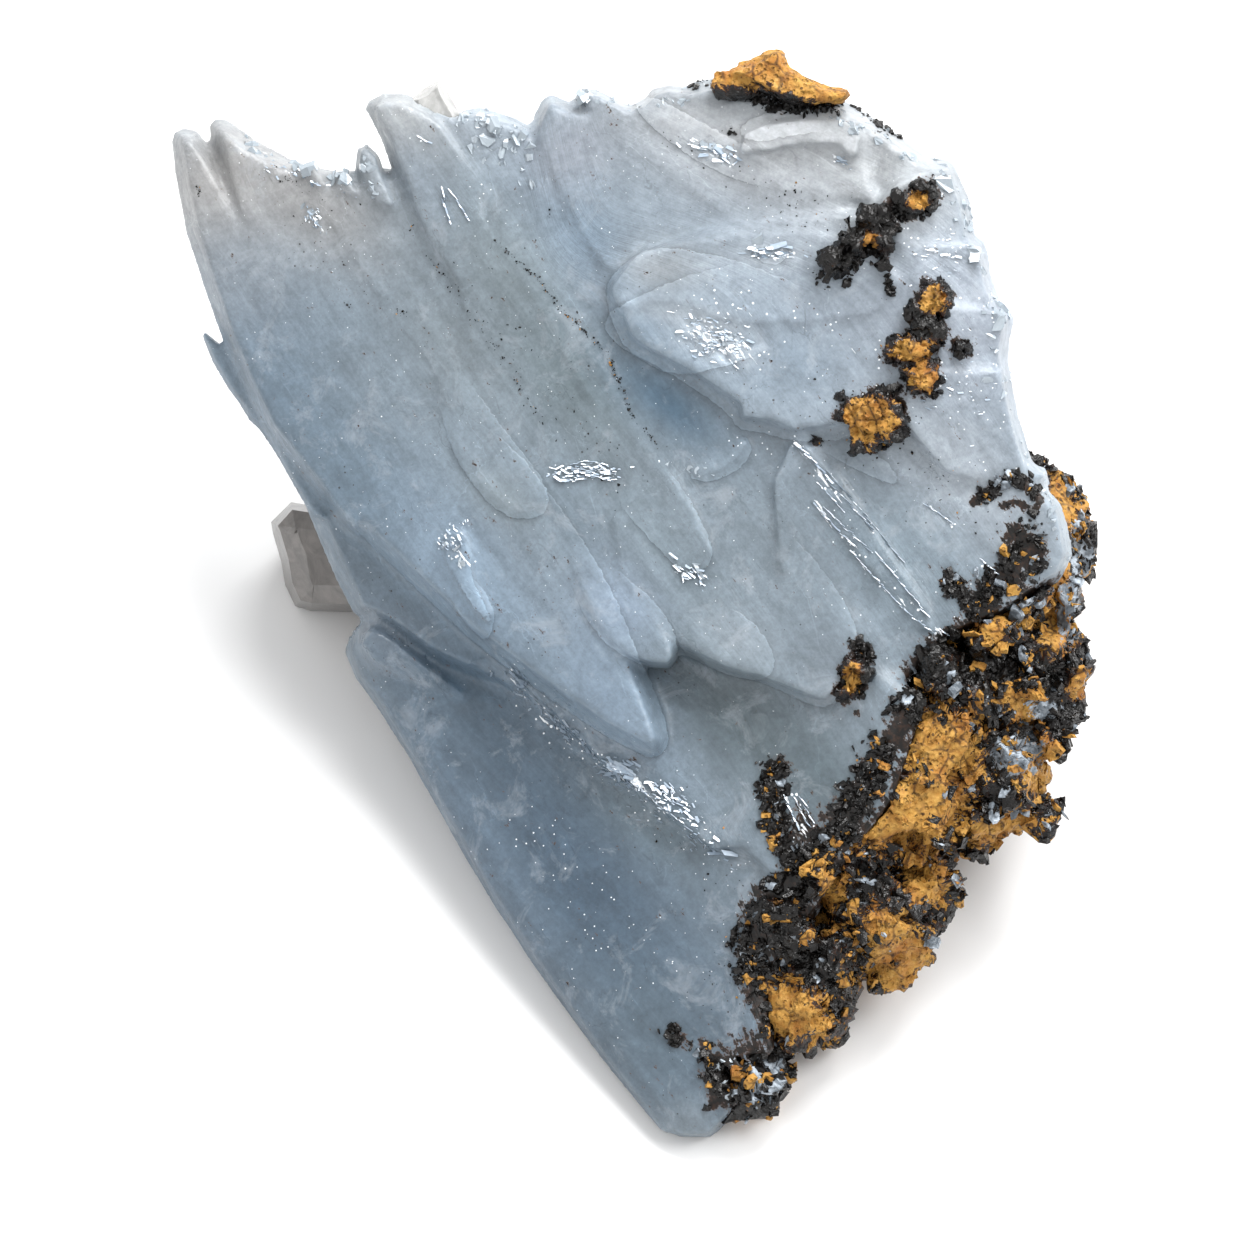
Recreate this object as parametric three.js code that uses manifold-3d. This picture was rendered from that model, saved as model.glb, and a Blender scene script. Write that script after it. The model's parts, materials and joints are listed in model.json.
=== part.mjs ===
// Barite on matrix: a fan of thick tabular barite blades grown on a crumbly goethite and limonite matrix.
// Millimetres, +Z up. The specimen rests on the flat underside of its matrix at Z = 0.
import * as THREE from "three";
import { mergeVertices } from "three/addons/utils/BufferGeometryUtils.js";
import Module from "manifold-3d";

const wasm = await Module();
wasm.setup();

// Driving dimensions
const SHEET_MIDDLE = 62.7; // the outlines are drawn on a square sheet laid on the face, twice this wide
const FACE_LEAN = THREE.MathUtils.degToRad(27); // the face rises to the back by this angle
const FACE_HEIGHT = 27; // height of the middle of the sheet over the rest plane
const OUTLINE_DISTANCE = 800; // outlines narrow towards a point this far in front of the face
const GAP = 0.3; // free space between neighbouring pieces
const BARITE_CLEARANCE = 0.8; // the lowest crystal edges stay this far over the rest plane
const LUMP_ROUGHNESS = 0.16; // share of its radius by which a lump's corners move in and out
const THIN_RIM = 2.2; // wider rims are rounded in two steps
const LARGE_LUMP = 6.5; // lumps with a larger radius have 80 faces, smaller ones 20

// Turns a place in the face's own axes (right, up the face, out of it) to where the specimen stands.
function leant(across, up, out) {
  const point = new THREE.Vector3(across, up, out).applyAxisAngle(new THREE.Vector3(1, 0, 0), FACE_LEAN);
  return point.setZ(point.z + FACE_HEIGHT);
}
const OUTWARD = leant(0, 0, 1).sub(leant(0, 0, 0));
const EYE = leant(0, 0, OUTLINE_DISTANCE);

// A place on the specimen, from mm right and mm down on the sheet, and mm out of the face.
function place(x, y, rise) {
  const narrowing = 1 - rise / OUTLINE_DISTANCE;
  return leant((x - SHEET_MIDDLE) * narrowing, (SHEET_MIDDLE - y) * narrowing, rise);
}

// The place on a plane that a point of the sheet marks.
function placeOn(plane, x, y) {
  const ray = new THREE.Ray(EYE, place(x, y, 0).sub(EYE).normalize());
  return ray.intersectPlane(plane, new THREE.Vector3());
}

// A closed solid from corners and triangles, turned to face outwards.
function solidFrom(corners, triangles) {
  const geometry = new THREE.BufferGeometry().setFromPoints(corners);
  geometry.setIndex(triangles);
  const merged = mergeVertices(geometry, 1e-4);
  const make = (order) =>
    new wasm.Manifold(
      new wasm.Mesh({
        numProp: 3,
        vertProperties: merged.attributes.position.array,
        triVerts: new Uint32Array(order),
      }),
    );
  const indices = Array.from(merged.index.array);
  const solid = make(indices);
  return solid.volume() > 0 ? solid : make(indices.reverse());
}

// The corners of an outline or of a plan as points.
function outlinePoints(corners) {
  return corners.map(([x, y]) => new THREE.Vector2(x, y));
}

// How far the outline lies across from a point, looking along a direction.
function widthAcross(points, from, direction) {
  let nearest = Infinity;
  for (let i = 0; i < points.length; i++) {
    const a = points[i];
    const edge = points[(i + 1) % points.length].clone().sub(a);
    const turn = direction.cross(edge);
    if (Math.abs(turn) < 1e-9) continue;
    const reach = a.clone().sub(from);
    const along = reach.cross(edge) / turn;
    const share = reach.cross(direction) / turn;
    if (along > 1e-3 && share >= 0 && share <= 1) nearest = Math.min(nearest, along);
  }
  return nearest;
}

// The outline moved inwards by a distance (outwards if negative), less where the blade is narrow.
function insetOutline(points, distance) {
  const round = THREE.ShapeUtils.area(points) > 0 ? 1 : -1;
  return points.map((point, i) => {
    const before = points[(i + points.length - 1) % points.length];
    const after = points[(i + 1) % points.length];
    const along = after.clone().sub(before).normalize();
    const inward = new THREE.Vector2(-along.y, along.x).multiplyScalar(round);
    const room = distance > 0 ? widthAcross(points, point, inward) * 0.38 : Infinity;
    return point.clone().addScaledVector(inward, Math.min(distance, room));
  });
}

// Triangles of a closed shell: rings of corners that all follow one outline, with its two ends filled.
function shellTriangles(outline, ringCount) {
  const count = outline.length;
  const last = (ringCount - 1) * count;
  const triangles = [];
  for (let start = 0; start < last; start += count) {
    for (let i = 0; i < count; i++) {
      const a = start + i;
      const b = start + ((i + 1) % count);
      triangles.push(a, b, a + count, b, b + count, a + count);
    }
  }
  const flip = THREE.ShapeUtils.area(outline) > 0;
  for (const [a, b, c] of THREE.ShapeUtils.triangulateShape(outline, [])) {
    const [p, q] = flip ? [c, b] : [b, c];
    triangles.push(a, p, q);
    triangles.push(a + last, q + last, p + last);
  }
  return triangles;
}

// A tabular crystal: flat faces above and below and rounded rims, widest halfway down. One that lies on
// others has its underside buried in them, and goes straight down from its rim.
function blade({ outline, level, thick, rim, buried = false }, margin = 0) {
  const face = new THREE.Plane().setFromCoplanarPoints(...level.map((spot) => place(...spot)));
  const edge = insetOutline(outlinePoints(outline), -margin);
  const rings = [{ inset: rim, drop: -margin }];
  if (rim > THIN_RIM) rings.push({ inset: rim * 0.3, drop: rim * 0.35 - margin });
  if (buried) {
    rings.push({ inset: 0, drop: thick + margin });
  } else {
    rings.push({ inset: 0, drop: thick * 0.5 });
    rings.push({ inset: Math.min(rim * 1.4, thick * 0.4), drop: thick + margin });
  }
  const corners = [];
  for (const { inset, drop } of rings) {
    const lowered = face.clone().translate(OUTWARD.clone().multiplyScalar(-drop));
    for (const { x, y } of inset ? insetOutline(edge, inset) : edge) {
      corners.push(placeOn(lowered, x, y));
    }
  }
  return solidFrom(corners, shellTriangles(edge, rings.length));
}

// A repeatable number from -1 to 1 for a place.
function scatter(x, y, z) {
  const wave = Math.sin(x * 12.9898 + y * 78.233 + z * 37.719) * 43758.5453;
  return 2 * (wave - Math.floor(wave)) - 1;
}

// A rough lump: a faceted ball, stretched to its radii, with its corners moved in and out.
function lump([x, y, rise, across, down, deep], margin = 0, put = place) {
  const ball = new THREE.IcosahedronGeometry(1, across > LARGE_LUMP ? 1 : 0);
  ball.deleteAttribute("normal");
  ball.deleteAttribute("uv");
  const merged = mergeVertices(ball, 1e-4);
  const position = merged.attributes.position;
  const corners = [];
  for (let i = 0; i < position.count; i++) {
    const p = new THREE.Vector3().fromBufferAttribute(position, i);
    const swell = 1 + LUMP_ROUGHNESS * scatter(p.x + x, p.y + y, p.z + rise);
    corners.push(
      put(
        x + p.x * (across * swell + margin),
        y + p.y * (down * swell + margin),
        rise + p.z * (deep * swell + margin),
      ),
    );
  }
  return solidFrom(corners, Array.from(merged.index.array));
}

// All the solids joined in one.
function joined(solids) {
  return solids.reduce((whole, next) => whole.add(next));
}

// The largest body of a solid, with any closed hollow in it filled.
function mainBody(solid) {
  return solid.decompose().reduce((a, b) => (b.volume() > a.volume() ? b : a));
}

// What lies above a level: the solid less a wide block under it.
function above(solid, level) {
  const block = new THREE.BoxGeometry(300, 300, 100);
  block.deleteAttribute("normal");
  block.deleteAttribute("uv");
  block.translate(0, 0, level - 50);
  const merged = mergeVertices(block);
  const position = merged.attributes.position;
  const corners = Array.from({ length: position.count }, (_, i) =>
    new THREE.Vector3().fromBufferAttribute(position, i),
  );
  return solid.subtract(solidFrom(corners, Array.from(merged.index.array)));
}

// Big blades at the upper left of the fan
const outerBlade = {
  outline: [
    [17.1, 14.2], [17.4, 13.2], [18.4, 12.7], [19.8, 13.1], [21.4, 15.2], [23.2, 18.5], [27, 25],
    [32, 36], [38, 50], [36, 54], [34.3, 52.6], [30, 47.6], [26.3, 43], [23.9, 38], [22.2, 34],
    [20.3, 28.6], [18.6, 23.3], [17.6, 18],
  ],
  level: [[17, 14, -11.3], [30, 47.5, -8], [45, 40, -2.85]],
  thick: 7,
  rim: 1.4,
};
const greatBlade = {
  outline: [
    [20.9, 12.6], [21.4, 11.8], [22.3, 11.8], [23.3, 12.3], [25, 13.6], [28.8, 15.7], [31, 16.6],
    [34, 17.2], [38, 16.7], [41, 17], [48, 26], [55, 42], [64.3, 66.6], [66.3, 71.6],
    [66.9, 73.9], [66.4, 75.3], [65.2, 75.9], [63.6, 75.2], [59.8, 73.3], [54.7, 69.6],
    [50.6, 66.7], [46.1, 63.2], [41.5, 58.8], [36.4, 54], [31, 48], [27, 38], [24.5, 30],
    [22.5, 21], [21.2, 15.5],
  ],
  level: [[17, 14, -11], [30, 47.5, -8], [66.9, 74, 3]],
  thick: 8,
  rim: 1.6,
};
const greatBladeCrest = {
  outline: [
    [28.6, 16.2], [31.5, 16.8], [35, 17.3], [38.6, 18], [42, 26], [47, 36], [50, 46],
    [44, 40], [37, 31], [31, 21.5],
  ],
  level: [[17, 14, -10.7], [30, 47.5, -7.7], [66.9, 74, 3.3]],
  thick: 2.6,
  rim: 1.6,
  buried: true,
};
const greatBladeRidge = {
  outline: [
    [44.3, 52.8], [46.6, 52.6], [47.4, 54.5], [48, 57.5], [49.8, 61.2], [49.6, 62.6],
    [48.2, 62.5], [46, 60], [44.4, 57.5], [43.8, 55],
  ],
  level: [[17, 14, -10.4], [30, 47.5, -7.4], [66.9, 74, 3.6]],
  thick: 3,
  rim: 0.7,
  buried: true,
};
const smallTips = [
  [[35.4, 16.8], [35.6, 14.9], [36.7, 14.3], [37.9, 15.4], [38.6, 17.5], [40, 21], [37.5, 20.5]],
  [[30.2, 16.7], [30.9, 15.9], [31.8, 16.3], [33.2, 19], [31, 19]],
  [[33, 17.3], [33.9, 16.6], [34.8, 16.9], [36.2, 19.6], [34, 19.6]],
].map((outline) => ({
  outline,
  level: [[30, 16, -5.9], [39, 16, -2.9], [35, 20, -4.1]],
  thick: 2.4,
  rim: 0.6,
  buried: true,
}));
const sideBladelet = {
  outline: [
    [20, 33.2], [20.7, 33.3], [22.4, 34.6], [26, 40.5], [30, 47], [33, 52], [31, 51.5],
    [28.2, 46.6], [27.1, 44.8], [25.9, 43], [24.9, 42.1], [23.9, 40.4], [22.7, 38.8], [21.2, 36.2],
  ],
  level: [[20, 33, -14.5], [30, 48, -11], [26, 37, -12]],
  thick: 2.6,
  rim: 0.5,
};
const underBlade = {
  outline: [
    [27.5, 43.5], [29, 46.6], [30.2, 49.8], [31.5, 53.2], [32.6, 55.7], [33.6, 58], [35.3, 61.4],
    [38.5, 63.2], [43, 66.2], [50, 69.5], [56, 72], [60, 68], [54, 54], [42, 42],
  ],
  level: [[30, 50, -12], [36, 61, -11.2], [60, 72, -3.6]],
  thick: 8,
  rim: 1.6,
};

// Blades over the great blade, from its middle to the right
const crownBlade = {
  outline: [
    [36.5, 10.9], [36.7, 10.1], [38.3, 9.2], [40.6, 9.3], [43, 10.4], [45, 12], [47, 15],
    [49.6, 22], [53, 28], [56, 36], [58, 45], [56, 50], [51, 49], [47.4, 43], [46, 36],
    [45, 29], [43.3, 26.3], [42, 24.5], [40.6, 21.2], [39.8, 18.6], [38.6, 15.4], [38, 13.8],
  ],
  level: [[38.6, 15, -2.2], [46, 36, -1.9], [55, 30, 1.2]],
  thick: 6,
  rim: 1.2,
};
const centreBlade = {
  outline: [
    [44, 18.6], [45.2, 18], [47.4, 18.4], [49, 22], [52, 29], [55, 38], [56.4, 46], [54.9, 50.4],
    [54, 51.4], [52.8, 52], [51.4, 51.8], [49, 50.4], [46.3, 47.9], [43.8, 43], [43.4, 34],
    [44.2, 26],
  ],
  level: [[47, 20, -1.6], [52, 51, -0.55], [44.5, 40, -2.7]],
  thick: 3.4,
  rim: 0.8,
  buried: true,
};
const middleBlade = {
  outline: [
    [47, 15.6], [48.3, 17.8], [49.7, 24], [53.3, 27.6], [55.1, 29.6], [58.4, 33],
    [60.8, 35.6], [61.4, 37], [62.2, 39.4], [63.4, 41.8], [65.8, 44.6], [68, 47.4], [70, 50.2],
    [72, 55], [70, 58], [58, 56], [46.5, 37], [44.6, 20], [45.4, 17],
  ],
  level: [[48, 18, 0.1], [60, 35, 2.5], [52, 44, -1]],
  thick: 6,
  rim: 0.9,
  buried: true,
};
const firstTongue = {
  outline: [
    [54.9, 47.8], [57, 46.8], [60, 46.8], [62.4, 47.8], [62.8, 50.5], [62.4, 53.5], [63.6, 56.6],
    [65.2, 59.6], [66.6, 62], [67.8, 64.2], [67.8, 65.8], [67, 66.9], [65.4, 66.9], [63.6, 66.4],
    [61.6, 65.4], [59.6, 63.4], [57.8, 60.2], [56.4, 56.5], [55.2, 52], [54.4, 49.4],
  ],
  level: [[57, 47, 0.4], [67, 66, 4.2], [56.5, 57, 0.8]],
  thick: 5,
  rim: 0.9,
  buried: true,
};
const secondTongue = {
  outline: [
    [62.4, 48.8], [64.2, 48.4], [66.5, 50.4], [70, 53.6], [73, 57.8], [75.3, 62.3], [77, 65],
    [77.7, 67.2], [77, 68.1], [75, 68], [72.4, 67.2], [69.8, 66], [66, 64.5], [63, 61],
    [61, 57], [60.5, 52],
  ],
  level: [[63, 49, 2.6], [77, 67.5, 4.4], [66, 64.5, 3.3]],
  thick: 5,
  rim: 0.9,
  buried: true,
};
const broadTongue = {
  outline: [
    [80, 40], [81, 46], [82, 50], [83, 53], [84, 56.3], [85.5, 60],
    [86.6, 61.2], [87, 63], [86.2, 66], [84.9, 68.6], [83.6, 70.4], [82.2, 70.9], [80.4, 70.3],
    [76, 68.5], [72.5, 63], [70, 58], [68, 53], [67, 49.6], [64.8, 46.6], [64.6, 44.2], [71, 41],
  ],
  level: [[72, 46, 3.7], [83, 70, 5], [73, 62, 4.1]],
  thick: 6,
  rim: 1.1,
  buried: true,
};
const hollowBlade = {
  outline: [
    [43, 11], [45.7, 11.1], [47.9, 10.7], [49.6, 11.1], [51.6, 11.8], [53.4, 12.8], [56.4, 18],
    [61, 24], [66, 29], [70, 35], [75, 40], [73, 44.4], [69.4, 47], [66, 48],
    [58, 40], [50, 26], [45, 13.5],
  ],
  level: [[53.3, 27.6, 0.8], [62, 39, 2.4], [55, 20, 0.6]],
  thick: 7,
  rim: 1,
};
const hollowLobe = {
  outline: [
    [68.2, 46.7], [70, 46], [71.8, 46.2], [73.2, 44.3], [74.4, 43.2], [75.4, 44.4], [74.4, 46],
    [72.4, 47.4], [70.6, 48.3], [69, 47.9],
  ],
  level: [[68, 46, 3.7], [75, 44, 4.7], [71, 48, 4]],
  thick: 3,
  rim: 0.7,
  buried: true,
};

// Body of the fan at the upper right
const northBlade = {
  outline: [
    [52.9, 14], [53.4, 11.6], [54.1, 10.1], [55.1, 9.4], [57.2, 10.3], [62, 11.4], [68, 14],
    [78, 18], [80, 26], [72, 32], [66, 33], [60.4, 28.2], [57, 23.5], [54.6, 18.2],
  ],
  level: [[53.5, 12, 0.5], [60, 27, 2.4], [72, 20, 4.2]],
  thick: 8,
  rim: 1.1,
};
const northLedge = {
  outline: [
    [57.4, 10.3], [57.5, 9.5], [58.1, 8.7], [59.9, 9], [61, 9.6], [62.6, 10.4], [70, 12],
    [84, 17], [86, 24], [80, 26], [72, 22], [66, 17.6], [61, 13.5],
  ],
  level: [[58, 9, 1], [80, 20, 6], [64, 18, 3]],
  thick: 5,
  rim: 0.7,
  buried: true,
};
const upperLedge = {
  outline: [
    [62.9, 11.2], [63.5, 10.3], [64.3, 10], [65.1, 8.9], [66.8, 8.4], [68.4, 8.6], [71, 9.8],
    [77, 10.5], [86, 14], [88, 21], [76, 19.5], [70, 16], [66, 13.4],
  ],
  level: [[65, 9, 2.3], [86, 20, 7.3], [70, 16, 4.15]],
  thick: 5,
  rim: 0.8,
  buried: true,
};
const shoulderBlade = {
  outline: [
    [67.5, 9.2], [69.5, 8.2], [73, 7.6], [78, 8], [83, 9.3], [87.5, 11.8], [90.5, 14],
    [93, 16], [95.3, 17], [93, 22], [86, 22], [78, 18.5], [72, 15.5], [68.5, 12.5],
  ],
  level: [[70, 9, 3.8], [80, 10, 5.8], [90, 20, 6.6]],
  thick: 9,
  rim: 1.2,
};
const whiteBlock = {
  outline: [
    [73.6, 12.6], [76, 11.4], [80, 10.8], [84.6, 10.6], [86.3, 11.9], [87.2, 13.5],
    [86.6, 16.2], [84.8, 16.9], [83.6, 15.4], [80.3, 15.5], [77, 16.2], [73.6, 16.3], [73, 14.5],
  ],
  level: [[74, 14, 6.4], [86, 12, 7.6], [84, 16.5, 8]],
  thick: 7,
  rim: 1.3,
  buried: true,
};
const rightBody = {
  outline: [
    [60.4, 30], [61.9, 34], [63.4, 35.6], [65.4, 36.5], [68.9, 38.6], [73.2, 41.5],
    [73.6, 43], [76.8, 43.3], [79.6, 44.4], [85, 43.6], [92, 41], [95, 34],
    [94, 26], [91, 19.5], [78, 20.4], [72, 21], [66, 23], [62.6, 25.4], [60.8, 27.8],
  ],
  level: [[61, 30, 4], [70, 40, 5.4], [90, 28, 8.6]],
  thick: 12,
  rim: 1.7,
};
const rightTongue = {
  outline: [
    [60.4, 29.6], [60.4, 28.4], [61.3, 27], [63, 24.8], [66.4, 23.5], [72, 22.6], [80, 22],
    [88, 24], [91, 28], [88.2, 31.9], [86.4, 32.6], [80, 33.3], [75.7, 33.4], [72, 33],
    [69, 31.6], [66, 31.2], [63, 31.8], [61.2, 31.2],
  ],
  level: [[61, 30, 4.6], [70, 40, 6.1], [90, 28, 9.2]],
  thick: 4,
  rim: 1.1,
  buried: true,
};
const rightBlocks = [
  {
    outline: [
      [89, 17.5], [92.9, 15.8], [94.7, 15.9], [95.4, 16.4], [96.2, 18.3], [97, 20],
      [97.3, 21.6], [97.6, 25], [97, 27], [90, 27], [87, 20.5],
    ],
    level: [[92, 19, 8.4], [97, 20, 7.2], [92, 23, 8.6]],
    thick: 9,
    rim: 1.2,
  },
  {
    outline: [
      [92, 23.5], [97, 23.4], [98.4, 24.1], [98.9, 25.7], [99.1, 27.4], [99.9, 29.8],
      [99.4, 32.5], [94, 33], [90, 28],
    ],
    level: [[93, 27, 9], [99, 27, 7.5], [94, 30, 8.7]],
    thick: 10,
    rim: 1.1,
  },
  {
    outline: [
      [93, 30], [98.5, 29.8], [100, 30.2], [101, 31], [101.4, 31.9], [101, 33.8],
      [100.6, 37.5], [100, 39], [93, 39],
    ],
    level: [[95, 33, 8.8], [101, 33, 7.2], [95, 36, 8.4]],
    thick: 10,
    rim: 1.1,
  },
  {
    outline: [
      [91, 36], [98, 36], [100.8, 36.2], [101.3, 38.6], [102, 41.9], [102.9, 44.8],
      [103.4, 46.3], [104.6, 46.8], [105, 48.5], [101, 50], [94, 48], [89, 42],
    ],
    level: [[94, 40, 8.3], [102, 42, 6.4], [97, 48, 6.1]],
    thick: 11,
    rim: 1.2,
  },
];
const streakedBlade = {
  outline: [
    [78.6, 43.6], [84, 40], [92, 38], [99, 43], [103.4, 47.4], [106.1, 50.3], [106.8, 52.5],
    [107.2, 55.5], [106, 58], [100, 62], [94.5, 64.5], [92, 68], [88, 74], [85.5, 74],
    [82, 71], [79, 64], [77, 56], [76.5, 48],
  ],
  level: [[80, 45, 5.6], [105, 52, 5], [86, 68, 4.2]],
  thick: 9,
  rim: 1,
};
const streakedRidge = {
  outline: [
    [79.8, 44.8], [81.5, 44.4], [86, 50], [93, 60], [94.4, 63.6], [91.4, 63.4], [86, 56.4],
    [81.6, 49.4],
  ],
  level: [[80, 45, 6.3], [105, 52, 5.6], [86, 68, 4.7]],
  thick: 3,
  rim: 0.6,
  buried: true,
};

// Lower part of the fan, near the rest plane
const lowerPlate = {
  outline: [
    [34.4, 65.2], [34.9, 63.6], [36.6, 62.7], [39.4, 64], [50, 68], [70, 65], [86, 64],
    [93, 70], [90, 80], [77, 98], [78, 105], [74.5, 110.5],
    [71, 113.8], [68.2, 114], [65.8, 113.3], [63.8, 110.8], [60, 105.8], [53.4, 96.5],
    [49.6, 90.9], [45.8, 84.5], [41.4, 76.6], [37.6, 70.7], [35.5, 67.9],
  ],
  level: [[35.5, 67.9, -14], [69, 114, 0], [80, 85, 3]],
  thick: 9,
  rim: 2.4,
};
const lowerLobe = {
  outline: [
    [34.6, 64.8], [35.2, 62.8], [36.6, 61.6], [38.4, 61.6], [40.4, 62.8], [43, 65],
    [46, 67.2], [48.5, 69.4], [47, 71.4], [43, 70.6], [39.5, 69], [36.4, 67.4],
  ],
  level: [[35.5, 63, -11.4], [40.5, 64, -9.8], [47, 69.5, -9]],
  thick: 5,
  rim: 1.8,
  buried: true,
};
const stepPlate = {
  outline: [
    [46, 65.5], [48.5, 67.3], [52, 69.6], [56, 73.5], [61, 78.2], [66, 82.2], [71, 85.9],
    [73.8, 85.7], [77, 88.5], [82, 87], [88, 79], [94, 68], [90, 58], [76, 58], [60, 60],
  ],
  level: [[51, 69, -5.5], [72, 86, 1.8], [85, 75, 3.2]],
  thick: 8,
  rim: 1.2,
  buried: true,
};

// Hidden mass that the blades grow from
const heart = {
  outline: [
    [42, 42], [56, 30], [74, 22], [92, 24], [99, 36], [100, 50], [88, 62], [70, 66], [52, 58],
  ],
  level: [[42, 42, -8], [92, 24, 2], [70, 66, -4]],
  thick: 18,
  rim: 4,
};
const lowerHeart = {
  outline: [
    [46, 66], [60, 62], [84, 62], [90, 74], [80, 88], [71, 102], [62, 96], [52, 82],
  ],
  level: [[44, 66, -13.5], [70, 100, -3.5], [84, 72, -1]],
  thick: 14,
  rim: 3,
};

const fanBlades = [
  outerBlade, greatBlade, greatBladeCrest, greatBladeRidge, ...smallTips, sideBladelet, underBlade,
  crownBlade, centreBlade, middleBlade, firstTongue, secondTongue, broadTongue, hollowBlade,
  hollowLobe, northBlade, northLedge, upperLedge, shoulderBlade, whiteBlock, rightBody,
  rightTongue, ...rightBlocks, streakedBlade, streakedRidge, lowerPlate, lowerLobe, stepPlate,
  heart, lowerHeart,
];

// Matrix: the outline of its foot in plan, right and back from under the middle of the sheet
const bedrockFoot = [
  [7, -42], [15, -35], [21, -27], [29, -21], [33, -11], [39, -5], [43, 5], [45, 15], [41, 27],
  [31, 35], [17, 39], [1, 36], [-12, 29], [-20, 19], [-23, 8], [-17, -2], [-11, -12], [-3, -25],
  [1, -35],
];
const BEDROCK_FRONT = { y: -42, height: 2.5 };
const BEDROCK_BACK = { y: 15, height: 15 };
const bedrockSteps = [
  { share: -0.1, inset: 3 },
  { share: 0.25, inset: 0.5 },
  { share: 0.65, inset: 0 },
  { share: 1, inset: 4 },
];
const BEDROCK_ROUGHNESS = 1.6; // the bedrock's corners move in and out by up to this
const bedrockKnobs = [
  [41, 20, 7, 7, 9, 9],
  [28, 32, 6, 9, 7, 8],
  [10, 36, 7, 9, 6, 9],
  [-9, 29, 6, 8, 7, 7],
  [-19, 14, 4, 6, 8, 6],
];

// Matrix: lumps as x, y, rise, and radii across, down and deep
const bandLumps = [
  [100.4, 57, -8, 7, 8, 10],
  [101.4, 67, -9, 7.6, 7.6, 11],
  [98, 77.4, -8, 8, 8, 11],
  [88.5, 90, -5, 6.8, 7.6, 9],
  [81, 98, -4, 5.4, 8, 8],
  [75.6, 107, -3, 4.2, 6, 5.6],
  [84, 84, -2, 7, 6.5, 6.4],
  [92, 72, -3, 7, 8, 8],
];
const crustLumps = [
  [92.5, 88.7, -0.6, 2, 2.1, 2],
  [89.4, 95, -4, 3.4, 3.9, 3.4],
  [79, 101.4, 0.2, 2.8, 4.5, 2.8],
  [105.6, 53.2, 0.6, 2.1, 3.2, 3],
  [103, 59.6, 1, 2.8, 3.2, 3],
  [98.6, 63, 2.4, 3, 2.8, 2.8],
  [103, 67.6, 0.4, 3, 2.8, 3],
  [98.4, 69, 2, 3, 3, 3],
  [107.2, 67.4, -4, 2.3, 2.7, 3.4],
  [105.2, 73.6, -4, 2.8, 2.6, 3.4],
  [100, 78.4, -1, 2.7, 2.5, 2.8],
  [103, 80.6, -5, 2.6, 2.8, 3.4],
  [98, 82.4, -3, 2.6, 2.2, 3],
  [78.3, 81.6, 2.2, 1.6, 5.2, 1.6],
  [78.4, 92, 1.2, 3.5, 4.6, 3.2],
  [82, 87, 2, 3.4, 3, 3],
  [107, 60.6, -3, 1.5, 3.6, 3],
  [86, 91.4, 0.2, 2.8, 2.6, 2.8],
  [82.4, 95.4, 0.6, 2.6, 2.8, 2.8],
  [94, 67.6, 3.4, 2.6, 3.4, 2.8],
  [89, 75.6, 3, 2.6, 4, 2.8],
];
const ochreSlab = {
  outline: [
    [90.1, 74.1], [92.8, 71.3], [94.2, 69.8], [97.9, 71.6], [97.9, 74.3], [95.3, 77.8],
    [95.6, 84.5], [93.2, 85.3], [91.4, 82.8], [85.9, 84.7], [85.7, 83.5], [88.2, 78.9],
  ],
  level: [[93, 72, 6], [97, 75, 4.6], [90, 84, 4.2]],
  thick: 9,
  rim: 0.7,
};
const cavity = [91.4, 87.2, 0.6, 3.2, 1.7, 4.4];

// Crusts of goethite and limonite on the crystals, away from the matrix
const crustPatches = {
  crust_upper: [
    [92.6, 19.4, 8.9, 1.7, 1.6, 1.5], [90.4, 20.6, 9.3, 1.7, 1.4, 1.4],
    [87.8, 22, 9.9, 2.3, 2, 1.7], [85.6, 23.8, 10, 1.7, 1.8, 1.4], [83.6, 26, 9.6, 2.1, 2.2, 1.5],
    [88.4, 25, 10, 1, 2.2, 1.2],
  ],
  crust_middle: [
    [93.6, 29.6, 9.7, 2.1, 1.9, 1.8], [92, 31.6, 9.9, 1.9, 2, 1.6], [93.2, 33.6, 9.3, 1.7, 1.9, 1.6],
    [90.4, 35, 9.3, 2.4, 2, 1.8], [92, 37.6, 9.1, 2.2, 2.3, 1.9],
  ],
  crust_flower: [
    [85.8, 41.6, 8.5, 2.4, 2.3, 1.7], [88.2, 40.6, 8.9, 2.5, 2, 1.8], [86.4, 43.8, 8.2, 2.1, 1.9, 1.6],
    [89, 42.6, 8.7, 2, 1.9, 1.6],
  ],
  crust_speck: [[96.2, 35, 8.9, 1, 0.9, 1.2]],
  crust_low: [[85.4, 67.2, 5.2, 1.7, 1.8, 1.5], [84.8, 69.2, 5, 1.2, 1.4, 1.4]],
};

// Cap of ochre limonite on the upper edge
const capSlab = {
  outline: [
    [72.8, 6.9], [75.1, 5.9], [77, 5], [78.2, 5], [78.8, 6.6], [80.8, 7.8], [82.9, 8.7],
    [84.9, 8.8], [85.3, 9.6], [84.4, 10.3], [81, 10.7], [78.2, 10.2], [75.8, 9], [73.4, 7.8],
  ],
  level: [[73, 7, 7], [78, 5, 7.2], [84, 9.5, 9.2]],
  thick: 5.5,
  rim: 0.7,
};
const capFoot = [73.6, 8.6, 4.8, 3.4, 1.6, 2];

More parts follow.
